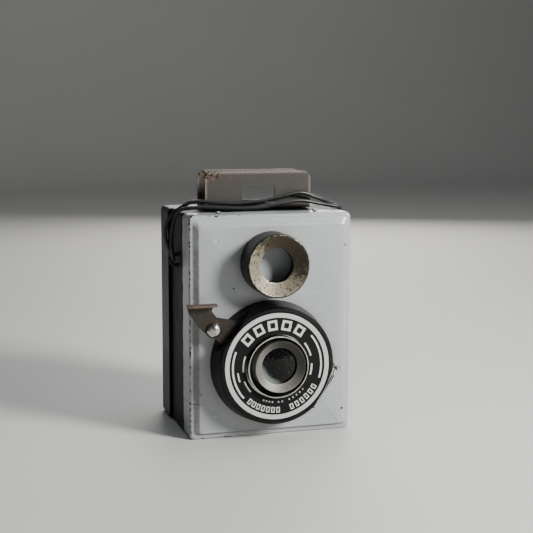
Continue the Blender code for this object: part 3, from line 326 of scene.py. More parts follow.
def tray_enamel():
    """Pale blue-grey stoved enamel, chipped to dark steel along its folds, with painted shade round the
    drum and ring, down the left slope and along the slope's foot.
    """
    f = Finish("tray_enamel", IOR=1.5, Coat_Roughness=0.18)
    side = f.span(abs(f.x), HALF_W - 0.9, HALF_W - 0.1)
    top = f.span(f.z, TOP - 0.9, TOP - 0.1)
    foot = f.span(f.z, 0.9, 0.1)
    fold = f.span(f.y, RIM_Y + 1.3, RIM_Y + 0.1)
    rear = f.span(f.y, TRAY_END - 0.9, TRAY_END - 0.05)
    rim = side.over(top).over(foot)
    corner = side * top.over(foot)
    left_more = f.span(f.x, 5.0, -24.0)
    exposed = (rim * fold * (0.62 + 0.62 * left_more)).over(rim * rear * 0.85).over(corner * fold * 1.3)
    coarse = f.grain(1.1, 4.0, 0.6, 1.0)
    chips = f.span(coarse + exposed * 0.22, 0.755, 0.775)
    pits = f.specks(0.16, 0.55, 2.0) * f.span(f.grain(0.12, 1.0, 0.5, 3.0), 0.5, 0.56)
    for x, z, size in ENAMEL_CHIPS:
        pits = pits.over(f.span(f.radius(x, z) + coarse * 0.5, size + 0.28, size + 0.20))
    cut = f.span(abs(f.z - CUT_Z + f.x * 0.02), 0.10, 0.05) * f.span(f.x, -21.6, -22.0)
    bare = chips.over(pits).over(cut)
    cloud = f.grain(0.09, 3.0, 0.6, 5.0)
    fine = f.grain(2.6, 2.0, 0.5, 6.0)
    tone = f.mix(paint(146, 152, 153), paint(164, 169, 170), cloud)
    # painted shade: the enamel darkens in a band round the foot of the drum and of the viewing ring, where
    # shade falls; the patchy noise part is real grime
    from_drum = f.radius(AXIS_X, LENS_Z) - DRUM_R
    from_ring = f.radius(AXIS_X, VIEW_Z) - VIEW_R
    near = f.span(abs(from_drum).under(abs(from_ring)), 2.6, 0.1)
    grime_and_contact_shade = (near * 0.7 + 0.35 * f.span(f.grain(0.35, 4.0, 0.65, 7.0), 0.52, 0.75)).under(1.0)
    tone = f.mix(tone, paint(128, 120, 104), grime_and_contact_shade * 0.42)
    # painted shade: the left slope and the line along the slope's foot are darkened, partly soot and partly
    # the shade of faces turned away from the light
    slope = f.span(f.x, -HALF_W + 0.7, -HALF_W + 1.2) * f.span(f.x, -HALF_W + 3.1, -HALF_W + 2.3)
    slope = slope * f.span(f.z, 1.2, 2.2) * f.span(f.z, TOP - 1.2, TOP - 3.6)
    foot_shade_line = f.span(abs(f.z - 1.75), 0.55, 0.1) * f.span(abs(f.x), HALF_W - 1.2, HALF_W - 2.6)
    soot_and_painted_shade = slope * (0.55 + 0.9 * (f.grain(0.5, 4.0, 0.6, 14.0) - 0.4)) + foot_shade_line * 0.6
    tone = f.mix(tone, paint(74, 71, 66), soot_and_painted_shade.under(0.85) * f.span(f.y, RIM_Y + 0.3, RIM_Y + 0.1))
    dust = f.specks(1.3, 0.09, 8.0)
    tone = f.mix(tone, paint(92, 88, 80), dust * 0.6)
    marks = f.scratches(9.0, (0.0, 35.0, 0.0)).over(f.scratches(10.0, (0.0, -62.0, 10.0)))
    tone = f.mix(tone, paint(214, 219, 220), marks * 0.4)
    ragged = f.span(coarse + exposed * 0.22, 0.735, 0.755) * (1.0 - chips)
    tone = f.mix(tone, paint(222, 224, 222), ragged * 0.6)
    steel = f.mix(paint(38, 34, 31), paint(74, 58, 46), f.grain(1.8, 3.0, 0.6, 11.0))
    f.set(Base_Color=f.mix(tone, steel, bare))
    f.set(Roughness=0.36 + 0.10 * fine + 0.18 * bare + 0.12 * grime_and_contact_shade, Metallic=bare * 0.6)
    f.set(Coat_Weight=0.35 * (1.0 - bare))
    f.relief((1.0 - bare) * 0.7 + f.grain(0.7, 2.0, 0.5, 12.0) * 0.3 + marks * -0.12, 0.09)
    return f.material


def black_enamel(name, seed, tone, gloss, wear, ripple=0.02):
    """Black stoved enamel with dust, hairlines and small bare spots."""
    f = Finish(name, IOR=1.24, Coat_Roughness=0.2)
    cloud = f.grain(0.12, 3.0, 0.6, seed)
    dust = f.specks(1.1, 0.13, seed + 1.0) * f.span(f.grain(0.2, 2.0, 0.5, seed + 2.0), 0.38, 0.6)
    hair = f.scratches(seed + 3.0, (12.0, 28.0, 0.0)).over(f.scratches(seed + 4.0, (0.0, -48.0, 30.0)))
    bare = f.span(f.grain(0.8, 5.0, 0.65, seed + 5.0), wear, wear + 0.015)
    worn_tone = (tone[0] + 9, tone[1] + 8, tone[2] + 8)
    colour = f.mix(paint(*tone), paint(*worn_tone), cloud)
    colour = f.mix(colour, paint(96, 92, 86), dust * 0.55)
    colour = f.mix(colour, paint(84, 82, 80), hair * 0.35)
    colour = f.mix(colour, paint(98, 84, 70), bare)
    f.set(Base_Color=colour, Metallic=bare * 0.8)
    f.set(Roughness=gloss + 0.14 * cloud + 0.3 * dust + 0.16 * hair + 0.1 * bare)
    f.set(Coat_Weight=0.06 * (1.0 - dust.over(bare)))
    f.relief(f.grain(0.9, 2.0, 0.5, seed + 6.0) - bare * 0.8 - hair * 0.2, ripple)
    return f.material


def crackle_black():
    """Black wrinkle enamel of the body between the tray and the cover."""
    f = Finish("crackle_black", IOR=1.22)
    inputs = {"Vector": f.shifted(2.0), "Scale": 1.9, "Randomness": 1.0}
    cells = f.add("ShaderNodeTexVoronoi", {"feature": "DISTANCE_TO_EDGE"}, inputs)
    creases = f.span(cells, 0.0, 0.22)
    cloud = f.grain(0.15, 3.0, 0.6, 3.0)
    dust = f.specks(1.4, 0.12, 4.0)
    colour = f.mix(paint(12, 12, 13), paint(24, 23, 22), cloud)
    colour = f.mix(colour, paint(104, 99, 92), dust * 0.4)
    # painted shade: the creases between the cells are a darker black than the cells
    f.set(Base_Color=f.mix(paint(9, 9, 9), colour, creases))
    f.set(Roughness=0.38 + 0.2 * cloud + 0.2 * dust)
    f.relief(creases + 0.3 * f.grain(3.0, 2.0, 0.5, 5.0), 0.05)
    return f.material


def plate_black():
    """Black plate with a white rim ring that has rubbed thin in places."""
    f = Finish("plate_black", IOR=1.24)
    away = f.radius(AXIS_X, LENS_Z)
    start = NAME_R - RING_IN
    ring = f.span(away, start, start + RING_SOFT) * f.span(f.y, PLATE_Y + 0.09, PLATE_Y + 0.07)
    rub = f.span(f.grain(1.4, 4.0, 0.65, 1.0), 0.66, 0.70)
    dust = f.specks(2.0, 0.09, 2.0)
    fine = f.grain(4.0, 3.0, 0.6, 3.0)
    black = f.mix(paint(9, 9, 10), paint(18, 18, 18), fine)
    black = f.mix(black, paint(110, 106, 99), dust * 0.5)
    white = f.mix(paint(196, 197, 194), paint(164, 165, 162), fine)
    white = f.mix(white, paint(70, 68, 64), rub * 0.8)
    f.set(Base_Color=f.mix(black, white, ring))
    f.set(Roughness=0.5 + 0.16 * fine + 0.1 * dust)
    f.relief(fine, 0.012)
    return f.material


def print_white():
    """White printing of the plate, slightly uneven and rubbed."""
    f = Finish("print_white", IOR=1.5)
    fine = f.grain(4.0, 3.0, 0.6, 5.0)
    rub = f.span(f.grain(1.5, 4.0, 0.65, 6.0), 0.62, 0.68)
    white = f.mix(paint(214, 215, 211), paint(176, 177, 173), fine)
    f.set(Base_Color=f.mix(white, paint(60, 58, 55), rub * 0.75))
    f.set(Roughness=0.5 + 0.15 * fine)
    f.relief(fine, 0.008)
    return f.material


def ring_dish():
    """Viewing ring: black wall and lip, brass-grey dish with dark spots and painted shade over the dish's
    upper right.
    """
    f = Finish("ring_dish", IOR=1.3)
    away = f.radius(AXIS_X, VIEW_Z)
    front = f.span(f.y, VIEW_LOW.y + 2.9, VIEW_LOW.y + 2.6)
    dish = f.span(away, VIEW_R - 0.42, VIEW_R - 0.62) * front
    cloud = f.grain(0.35, 4.0, 0.65, 1.0)
    fine = f.grain(3.0, 3.0, 0.6, 2.0)
    spots = f.specks(1.2, 0.42, 3.0).over(f.specks(2.6, 0.2, 4.0) * 0.9)
    # painted shade: the dish is darkened towards its upper right, and its tarnish is pushed that way too
    upper_right_shade = f.span((f.x - AXIS_X) * 0.6 + (f.z - VIEW_Z) * 0.8, -2.5, 6.5)
    tarnish_and_shade = f.span(f.grain(0.9, 5.0, 0.75, 5.0) + upper_right_shade * 0.26, 0.50, 0.68)
    metal = f.mix(paint(158, 151, 136), paint(116, 107, 88), cloud)
    metal = f.mix(metal, paint(52, 46, 36), upper_right_shade * 0.55)
    metal = f.mix(metal, paint(46, 39, 27), tarnish_and_shade * 0.85)
    metal = f.mix(metal, paint(24, 20, 15), spots * 0.85)
    wall = f.mix(paint(12, 11, 10), paint(30, 27, 24), f.span(fine, 0.45, 0.8))
    lip = f.span(abs(away - (VIEW_R - 0.4)), 0.35, 0.0)
    lip = lip * f.span(f.grain(1.2, 4.0, 0.6, 6.0), 0.5, 0.6)
    wall = f.mix(wall, paint(122, 116, 100), lip * 0.8)
    f.set(Base_Color=f.mix(wall, metal, dish))
    f.set(Metallic=(dish * 0.35 * (1.0 - spots)).over(lip * 0.6))
    f.set(Roughness=0.34 + 0.14 * fine + 0.2 * spots * dish)
    f.relief(fine * 0.4 - spots * 0.5, 0.03)
    return f.material


def bright_metal(name, seed, light, dark, gloss, spot=0.16, marks=0.5, turned=None):
    """Plated metal with haze, small pits and, where it was turned, fine lathe rings."""
    f = Finish(name)
    cloud = f.grain(0.5, 4.0, 0.6, seed)
    fine = f.grain(5.0, 2.0, 0.5, seed + 1.0)
    pits = f.specks(1.8, spot, seed + 2.0)
    hair = f.scratches(seed + 3.0, (20.0, 40.0, 15.0), 0.01, 12.0)
    colour = f.mix(light, dark, f.span(cloud, 0.35, 0.75))
    colour = f.mix(colour, paint(52, 44, 36), pits * 0.8)
    height = fine * 0.3 - pits * 0.5 - hair * 0.2
    if turned is not None:
        away = f.radius(*turned)
        lathe = f.add("ShaderNodeMath", {"operation": "SINE"}, {0: away * 38.0})
        height = height + lathe * 0.12
    f.set(Base_Color=colour, Metallic=1.0 - pits * 0.5)
    f.set(Roughness=gloss + 0.22 * cloud * marks + 0.2 * pits + 0.12 * hair)
    f.relief(height, 0.012)
    return f.material


def cell_grey():
    """Lens cell: grey metal cone, paler towards its lip, with painted shade darkening it at the upper
    right.
    """
    f = Finish("cell_grey")
    away = f.radius(CELL_X, LENS_Z)
    cloud = f.grain(0.7, 4.0, 0.6, 1.0)
    fine = f.grain(5.0, 3.0, 0.6, 2.0)
    pits = f.specks(2.2, 0.13, 3.0)
    lip = f.span(away, 6.3, 5.5)
    # painted shade: the cone is darkened towards its upper right
    upper_right_shade = f.span((f.x - CELL_X) * 0.7 + (f.z - LENS_Z) * 0.7, -2.5, 5.5)
    colour = f.mix(paint(128, 127, 120), paint(96, 94, 87), cloud)
    colour = f.mix(colour, paint(150, 150, 143), lip * 0.3)
    colour = f.mix(colour, paint(30, 28, 24), upper_right_shade * 0.85)
    colour = f.mix(colour, paint(42, 38, 32), pits * 0.75)
    f.set(Base_Color=colour, Metallic=0.35 - 0.2 * pits)
    f.set(Roughness=0.40 + 0.12 * fine + 0.2 * pits)
    f.relief(fine * 0.4 - pits * 0.5, 0.014)
    return f.material


def dusty_glass():
    """Dark lens with dust, a faint haze and a painted reflection: a pale crescent at the lower left."""
    f = Finish("dusty_glass", IOR=1.26)
    haze = f.grain(0.4, 4.0, 0.65, 1.0)
    dust = f.specks(1.7, 0.12, 2.0).over(f.specks(3.5, 0.07, 3.0))
    # painted reflection: a pale crescent along the lower left edge of the glass
    low = f.span((f.x - CELL_X) + (f.z - LENS_Z), -3.6, -7.4)
    edge = f.span(f.radius(CELL_X, LENS_Z), 3.4, 5.0)
    colour = f.mix(paint(3, 3, 3), paint(12, 14, 13), haze)
    colour = f.mix(colour, paint(128, 138, 131), edge * low)
    colour = f.mix(colour, paint(116, 120, 116), dust * 0.75)
    f.set(Base_Color=colour, Roughness=0.10 + 0.12 * haze + 0.4 * dust)
    f.relief(dust, 0.01)
    return f.material


def lever_brass():
    """Blackened brass with rubbed patches and a rusty edge on the finger tab."""
    f = Finish("lever_brass")
    cloud = f.grain(0.6, 5.0, 0.65, 1.0)
    fine = f.grain(4.0, 3.0, 0.6, 2.0)
    rub = f.span(cloud, 0.52, 0.64)
    tab = f.span(f.z, LEVER_TOP - 0.75, LEVER_TOP - 0.45) * f.span(fine + cloud, 0.85, 1.0)
    colour = f.mix(paint(34, 29, 22), paint(72, 62, 46), rub * 0.6)
    colour = f.mix(colour, paint(18, 15, 12), f.specks(1.8, 0.2, 3.0) * 0.8)
    colour = f.mix(colour, paint(104, 80, 70), tab * 0.75)
    f.set(Base_Color=colour, Metallic=0.3 + 0.3 * rub - 0.25 * tab)
    f.set(Roughness=0.36 + 0.25 * fine)
    f.relief(cloud + 0.3 * fine, 0.03)
    return f.material


def finder_enamel():
    """Dark enamel of the finder, worn to tarnished steel, with rust along the top left."""
    f = Finish("finder_enamel", IOR=1.32)
    top = f.span(f.z, FINDER_HIGH.z - 1.0, FINDER_HIGH.z - 0.15)
    side = f.span(abs(f.x), FINDER_HIGH.x - 0.9, FINDER_HIGH.x - 0.1)
    fine = f.grain(3.4, 4.0, 0.65, 1.0)
    brushed = f.grain(0.5, 3.0, 0.6, 2.0, (0.3, 6.0, 6.0))
    cloud = f.grain(0.22, 4.0, 0.6, 3.0)
    corner = f.span(f.x, -4.0, -15.0) * f.span(f.z, FINDER_HIGH.z - 4.5, FINDER_HIGH.z - 1.0)
    rust = f.span(f.grain(0.9, 5.0, 0.7, 4.0) + corner * 0.22, 0.66, 0.78)
    chips = f.span(f.grain(1.0, 4.0, 0.6, 5.0) + corner * 0.20, 0.72, 0.74)
    edge = top.over(side) * f.span(fine, 0.34, 0.52)
    colour = f.mix(paint(66, 63, 58), paint(50, 48, 44), cloud)
    colour = f.mix(colour, paint(84, 81, 75), brushed * 0.35)
    colour = f.mix(colour, paint(112, 76, 60), rust * 0.6)
    colour = f.mix(colour, paint(128, 122, 114), edge * 0.8)
    colour = f.mix(colour, paint(20, 15, 12), chips)
    f.set(Base_Color=colour, Metallic=0.2 + 0.35 * edge - 0.2 * chips)
    f.set(Roughness=0.40 + 0.16 * fine + 0.15 * rust)
    f.relief(0.4 * fine + 0.2 * brushed - 0.7 * chips, 0.04)
    return f.material


def strap_vinyl():
    """Black vinyl cord with a lengthwise grain that follows its run."""
    f = Finish("strap_vinyl", IOR=1.32, Coat_Roughness=0.22)
    along = f.add("ShaderNodeUVMap", {"uv_map": "run"})
    wide = f.add("ShaderNodeMapping", inputs={"Vector": along, "Scale": (9.0, 0.5, 1.0)})
    noise_inputs = {"Detail": 3.0, "Roughness": 0.6}
    grain = f.add("ShaderNodeTexNoise", inputs={"Vector": wide, "Scale": 2.0, **noise_inputs})
    creases = f.add("ShaderNodeTexNoise", inputs={"Vector": along, "Scale": 1.2, **noise_inputs})
    dust = f.specks(1.6, 0.1, 3.0)
    crease = f.span(creases, 0.56, 0.66)
    colour = f.mix(paint(10, 10, 12), paint(24, 25, 27), grain)
    colour = f.mix(colour, paint(92, 90, 88), dust * 0.4)
    f.set(Base_Color=colour, Coat_Weight=0.3 - 0.2 * crease)
    f.set(Roughness=0.34 + 0.16 * grain + 0.15 * crease)
    f.relief(grain * 0.6 - crease * 0.4, 0.03)
    return f.material


def red_celluloid():
    """Hazy red window of the rear cover."""
    f = Finish("red_celluloid", IOR=1.5, Coat_Roughness=0.05)
    haze = f.grain(0.6, 4.0, 0.6, 1.0)
    dust = f.specks(1.8, 0.12, 2.0)
    colour = f.mix(paint(122, 10, 12), paint(78, 6, 8), haze)
    f.set(Base_Color=f.mix(colour, paint(150, 96, 90), dust * 0.6))
    f.set(Roughness=0.12 + 0.15 * haze + 0.3 * dust, Coat_Weight=0.8 - 0.6 * dust)
    f.relief(haze, 0.02)
    return f.material


def matt_black(name, seed):
    """Flat black of the inside, rubbed grey in places."""
    f = Finish(name)
    fine = f.grain(5.0, 4.0, 0.7, seed)
    rub = f.span(f.grain(0.7, 4.0, 0.6, seed + 1.0), 0.6, 0.75)
    colour = f.mix(paint(16, 16, 16), paint(30, 29, 28), fine)
    f.set(Base_Color=f.mix(colour, paint(66, 62, 57), rub * 0.4))
    f.set(Roughness=0.7 + 0.2 * fine)
    f.relief(fine, 0.03)
    return f.material


def pale_floor():
    """Plain pale paper."""
    f = Finish("pale_floor")
    cloud = f.grain(0.01, 3.0, 0.5, 1.0)
    f.set(Base_Color=f.mix(paint(206, 205, 202), paint(212, 211, 208), cloud))
    f.set(Roughness=0.55 + 0.1 * cloud)
    return f.material


# ---- mesh helpers -------------------------------------------------------
def mesh_object(name, bm):
    """Linked object in metres from a bmesh in millimetres."""
    for vert in bm.verts:
        vert.co = vert.co * MM
    mesh = bpy.data.meshes.new(name)
    bm.to_mesh(mesh)
    bm.free()
    obj = bpy.data.objects.new(name, mesh)
    bpy.context.scene.collection.objects.link(obj)
    return obj


def smooth(mesh):
    """Smooth shading that keeps the folds crisp."""
    mesh.shade_smooth()
    mesh.set_sharp_from_angle(angle=FOLD_ANGLE)


def piece(name, bm, finish):
    """A named piece that rides on the case."""
    bmesh.ops.recalc_face_normals(bm, faces=bm.faces)
    obj = mesh_object(name, bm)
    obj.data.materials.append(finish)
    smooth(obj.data)
    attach(obj, "case")
    return obj


def evaluated_mesh(obj):
    """Plain mesh of an object with its modifiers applied."""
    return bpy.data.meshes.new_from_object(obj.evaluated_get(bpy.context.evaluated_depsgraph_get()))


def route_points(points, count):
    """Catmull-Rom through the route points, read at equal steps of length."""
    stops = [Vector(p) for p in points]
    ends = [stops[0] * 2.0 - stops[1]] + stops + [stops[-1] * 2.0 - stops[-2]]
    fine = []
    for p0, p1, p2, p3 in zip(ends, ends[1:], ends[2:], ends[3:]):
        for k in range(24):
            t = k / 24.0
            v = p1 * 2.0 + (p2 - p0) * t + (p0 * 2.0 - p1 * 5.0 + p2 * 4.0 - p3) * t * t
            fine.append((v + (p1 * 3.0 - p0 - p2 * 3.0 + p3) * t * t * t) * 0.5)
    fine.append(stops[-1])
    runs = [0.0]
    for a, b in zip(fine, fine[1:]):
        runs.append(runs[-1] + (b - a).length)
    out = []
    k = 0
    for i in range(count):
        want = runs[-1] * i / (count - 1)
        while k < len(runs) - 2 and runs[k + 1] < want:
            k += 1
        out.append(fine[k].lerp(fine[k + 1], (want - runs[k]) / max(runs[k + 1] - runs[k], 1e-9)))
    return out, runs[-1]


def cord_tube(points, radius):
    """Closed tube along the points, a little uneven, with a map of its run named run."""
    sides = 14
    bm = bmesh.new()
    run_map = bm.loops.layers.uv.new("run")
    rows = []
    side = None
    for i, p in enumerate(points):
        way = (points[min(i + 1, len(points) - 1)] - points[max(i - 1, 0)]).normalized()
        side = way.orthogonal() if side is None else side - way * side.dot(way)
        side.normalize()
        other = way.cross(side)
        row = []
        for k in range(sides):
            turn = 2.0 * math.pi * k / sides
            out = side * math.cos(turn) + other * math.sin(turn)
            swell = 1.0 + 0.03 * noise.noise(p * 0.9 + out * 0.8)
            row.append(bm.verts.new(p + out * (radius * swell)))
        rows.append(row)
    step = (points[1] - points[0]).length
    for i in range(len(rows) - 1):
        for k in range(sides):
            j = (k + 1) % sides
            face = bm.faces.new((rows[i][k], rows[i][j], rows[i + 1][j], rows[i + 1][k]))
            corners = ((k, i), (k + 1, i), (k + 1, i + 1), (k, i + 1))
            for loop, (across, along) in zip(face.loops, corners):
                loop[run_map].uv = (across / sides, along * step)
    bm.faces.new(rows[0])
    bm.faces.new(rows[-1])
    return bm


# ---- strap --------------------------------------------------------------
CORD_R = 0.58
STRAND_STEPS = 220                   # rings along each strand
STRAP_BACK = [
    (-EDGE, LUG_Y + 0.8, LUG_Z), (-EDGE - 0.6, LUG_Y + 1.5, LUG_Z + 2.3),
    (-EDGE - 2.1, LUG_Y + 1.0, LUG_Z + 7.7), (-EDGE - 0.8, LUG_Y - 1.0, TOP - 1.4),
    (-HALF_W + 1.8, LUG_Y - 2.7, TOP + 2.0), (-HALF_W + 5.2, LUG_Y - 3.4, TOP + 3.1),
    (-HALF_W + 12.3, LUG_Y - 4.0, TOP + 2.5), (-6.6, LUG_Y - 4.2, TOP + 2.3),
    (0.3, LUG_Y - 4.3, TOP + 2.9), (6.0, LUG_Y - 4.2, TOP + 4.0), (HALF_W - 12.4, LUG_Y - 3.8, TOP + 5.2),
    (HALF_W - 6.4, LUG_Y - 3.2, TOP + 3.4), (HALF_W - 2.1, LUG_Y - 2.4, TOP + 1.7),
    (HALF_W + 0.7, LUG_Y - 1.7, TOP + 0.5), (HALF_W + 2.1, LUG_Y - 0.7, TOP - 2.2),
    (EDGE + 1.2, LUG_Y + 0.7, LUG_Z + 7.7), (EDGE + 0.6, LUG_Y + 1.3, LUG_Z + 2.7),
    (EDGE, LUG_Y + 0.8, LUG_Z),
]
STRAP_FRONT = [
    (-EDGE, LUG_Y - 0.8, LUG_Z), (-EDGE - 0.5, LUG_Y - 1.7, LUG_Z + 2.3),
    (-EDGE - 0.8, LUG_Y - 1.7, LUG_Z + 7.7), (-EDGE - 0.1, LUG_Y - 3.3, TOP - 1.8),
    (-HALF_W - 0.5, LUG_Y - 4.1, TOP + 0.6),
    (-HALF_W + 2.7, LUG_Y - 4.8, TOP + 1.3), (-HALF_W + 7.3, LUG_Y - 5.4, TOP + 1.4),
    (-HALF_W + 13.4, LUG_Y - 5.8, TOP + 1.1), (-5.5, LUG_Y - 6.0, TOP + 0.95),
    (-0.2, LUG_Y - 6.1, TOP + 1.1), (5.6, LUG_Y - 6.0, TOP + 2.2), (HALF_W - 12.9, LUG_Y - 5.5, TOP + 2.9),
    (HALF_W - 6.9, LUG_Y - 4.9, TOP + 1.9), (HALF_W - 2.2, LUG_Y - 4.0, TOP + 1.0),
    (HALF_W + 0.4, LUG_Y - 3.5, TOP + 0.5), (HALF_W + 1.5, LUG_Y - 2.7, TOP - 1.8),
    (EDGE + 0.4, LUG_Y - 1.9, LUG_Z + 7.7), (EDGE + 0.5, LUG_Y - 1.7, LUG_Z + 2.7),
    (EDGE, LUG_Y - 0.8, LUG_Z),
]


def strap_strand(name, node, route, finish):
    """One strand along its route, in place of the plain cord of that node."""
    points, run = route_points(route, STRAND_STEPS)
    strand = piece(name, cord_tube(points, CORD_R), finish)
    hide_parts(node)
    path = [tuple(p * MM) for p in points]
    run * MM


def make_strap(finish):
    """Two strands that turn through the lugs at both ends."""
    steps = 10
    for sign, side in ((-1.0, "left"), (1.0, "right")):
        stops = []
        for i in range(steps + 1):
            sag = 0.05 * math.sin(math.pi * i / steps)
            stops.append(Vector((sign * EDGE, LUG_Y + (1.0 - 2.0 * i / steps), LUG_Z - sag)))
        piece("strap_turn_" + side, cord_tube(stops, CORD_R * 0.97), finish)
    strap_strand("strap_strand_back", "strap_back", STRAP_BACK, finish)
    strap_strand("strap_strand_front", "strap_front", STRAP_FRONT, finish)


# ---- front tray ---------------------------------------------------------
FOOT_IN = (1.0, 0.95, 1.45, 1.15)    # left, right, bottom and top margins at the slope's foot
FIELD_IN = (2.9, 2.55, 2.0, 3.5)     # the same margins where the slope reaches the field
SIDE_X = 70                          # points along the top and bottom sides
SIDE_Z = 90                          # points along the upright sides
CORNER = 10                          # steps round each corner
FLANGE_STEPS = 9                     # rims along the depth of the flange
PLAIN, DENTED, SEAMED = range(3)     # how much a rim shows of handling
LENS_HOLE, RIVET_HOLE, POST_HOLE = 5.0, 1.2, 0.8


def rounded_rim(y, left, right, low, high, r):
    """Rounded rectangle with many points on its sides, always the same count."""
    x0, x1, z0, z1 = -HALF_W + left, HALF_W - right, low, TOP - high
    points = []
    corners = ((x1 - r, z1 - r, 0.0, SIDE_X), (x0 + r, z1 - r, 90.0, SIDE_Z),
               (x0 + r, z0 + r, 180.0, SIDE_X), (x1 - r, z0 + r, 270.0, SIDE_Z))
    for k, (cx, cz, start, count) in enumerate(corners):
        for i in range(CORNER + 1):
            a = math.radians(start + 90.0 * i / CORNER)
            points.append(Vector((cx + r * math.cos(a), y, cz + r * math.sin(a))))
        nx, nz, nstart, _ = corners[(k + 1) % 4]
        a = math.radians(nstart)
        end = Vector((nx + r * math.cos(a), y, nz + r * math.sin(a)))
        begin = points[-1].copy()
        for i in range(1, count):
            points.append(begin.lerp(end, i / count))
    return points


def flange_rim(y, inset, r=1.2):
    """Rim of the flange, the same distance in from every side."""
    return rounded_rim(y, inset, inset, inset, inset, r)


def slope_rim(y, share, r):
    """Rim of the slope, from its foot at share 0 to the field at share 1."""
    margins = [a + (b - a) * share for a, b in zip(FOOT_IN, FIELD_IN)]
    return rounded_rim(y, *margins, r)


def handle_marks(p, seam):
    """Moves a point in for dents and open corner seams, and lifts the torn top left corner."""
    crumple = max(0.0, 1.0 - Vector((p.x + HALF_W, 0.0, p.z - TOP)).length / 2.6)
    dent = 0.13 * max(0.0, noise.noise(p * 0.28)) + 0.08 * max(0.0, noise.noise(p * 1.1))
    dent += crumple * 0.30 * abs(noise.noise(p * 1.9 + Vector((4.0, 0.0, 2.0))))
    if seam:
        dent += 0.34
    near = 1.3
    inward = Vector((0.0, 0.0, 0.0))
    if abs(p.x) > HALF_W - near:
        inward.x = -math.copysign(1.0, p.x)
    if p.z > TOP - near:
        inward.z = -1.0
    if 0.3 < p.z < near:
        inward.z = 1.0
    if inward.length > 0.0:
        inward.normalize()
    torn = max(0.0, 1.0 - (p - Vector((-HALF_W + 0.7, RIM_Y + 1.0, TOP))).length / 2.4)
    lift = torn * (0.45 + 0.5 * noise.noise(p * 2.1))
    return p + inward * dent * (1.0 - torn) + Vector((0.0, -0.15 * torn, max(0.0, lift)))


def drill(obj, holes):
    """Cuts round holes front to back, each given as x, z and radius, and leaves a plain mesh."""
    for x, z, radius in holes:
        bm = bmesh.new()
        bmesh.ops.create_cone(bm, cap_ends=True, segments=40, radius1=radius, radius2=radius, depth=6.0)
        place = Matrix.Translation((x, RIM_Y, z)) @ Matrix.Rotation(math.radians(90.0), 4, "X")
        bmesh.ops.transform(bm, matrix=place, verts=bm.verts)
        cutter = mesh_object("cutter", bm)
        cut = obj.modifiers.new("hole", "BOOLEAN")
        cut.solver = "EXACT"
        cut.object = cutter
        uncut = obj.data
        shape = evaluated_mesh(obj)
        obj.modifiers.remove(cut)
        obj.data = shape
        bpy.data.meshes.remove(uncut)
        bpy.data.objects.remove(cutter)
    smooth(obj.data)


def tray_rims():
    """Rims of the tray from the field's back, round the flange, to the field's front."""
    rims = [
        (slope_rim(FIELD_Y + SHEET, 1.0, 0.8), PLAIN), (slope_rim(RIM_Y + SHEET, 0.15, 0.9), PLAIN),
        (flange_rim(RIM_Y + SHEET, SHEET + 0.4, 0.7), PLAIN),
        (flange_rim(RIM_Y + SHEET + 0.5, SHEET, 0.7), PLAIN), (flange_rim(TRAY_END, SHEET, 0.7), PLAIN),
        (flange_rim(TRAY_END, 0.12), SEAMED), (flange_rim(TRAY_END - 0.12, 0.0), SEAMED),
    ]
    depth = RIM_Y + 0.9 - TRAY_END
    for i in range(1, FLANGE_STEPS + 1):
        rims.append((flange_rim(TRAY_END + depth * i / FLANGE_STEPS, 0.0), SEAMED))
    for back, inset in ((0.5, 0.05), (0.25, 0.2), (0.08, 0.45)):
        rims.append((flange_rim(RIM_Y + back, inset), DENTED))
    rims.append((flange_rim(RIM_Y, 0.85), PLAIN))
    for y, share, r in (
        (RIM_Y, 0.0, 1.3), (RIM_Y - 0.05, 0.1, 1.28), (RIM_Y - 0.17, 0.22, 1.25),
        (FIELD_Y + 0.17, 0.78, 1.2), (FIELD_Y + 0.05, 0.9, 1.15), (FIELD_Y, 1.0, 1.1),
    ):
        rims.append((slope_rim(y, share, r), PLAIN))
    return rims


def make_tray(finish):
    """Pressed tray with dented folds and open corner seams, in place of the plain one."""
    seams = set()
    start = 0
    for count in (SIDE_X, SIDE_Z, SIDE_X, SIDE_Z):
        seams.add(start + CORNER // 2)
        start += CORNER + count
    bm = bmesh.new()
    rows = []
    for points, marks in tray_rims():
        row = []
        for i, p in enumerate(points):
            if marks != PLAIN:
                p = handle_marks(p, i in seams and marks == SEAMED)
            row.append(bm.verts.new(p))
        rows.append(row)
    for a, b in zip(rows, rows[1:]):
        for i in range(len(a)):
            j = (i + 1) % len(a)
            bm.faces.new((a[i], a[j], b[j], b[i]))
    bm.faces.new(rows[0])
    bm.faces.new(rows[-1])
    tray = piece("tray", bm, finish)
    rivet = (RIVET_LOW + RIVET_HIGH) / 2.0
    post = (POST_LOW + POST_HIGH) / 2.0
    drill(tray, [(AXIS_X, LENS_Z, LENS_HOLE), (rivet.x, rivet.z, RIVET_HOLE), (post.x, post.z, POST_HOLE)])
    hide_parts("front_plate")


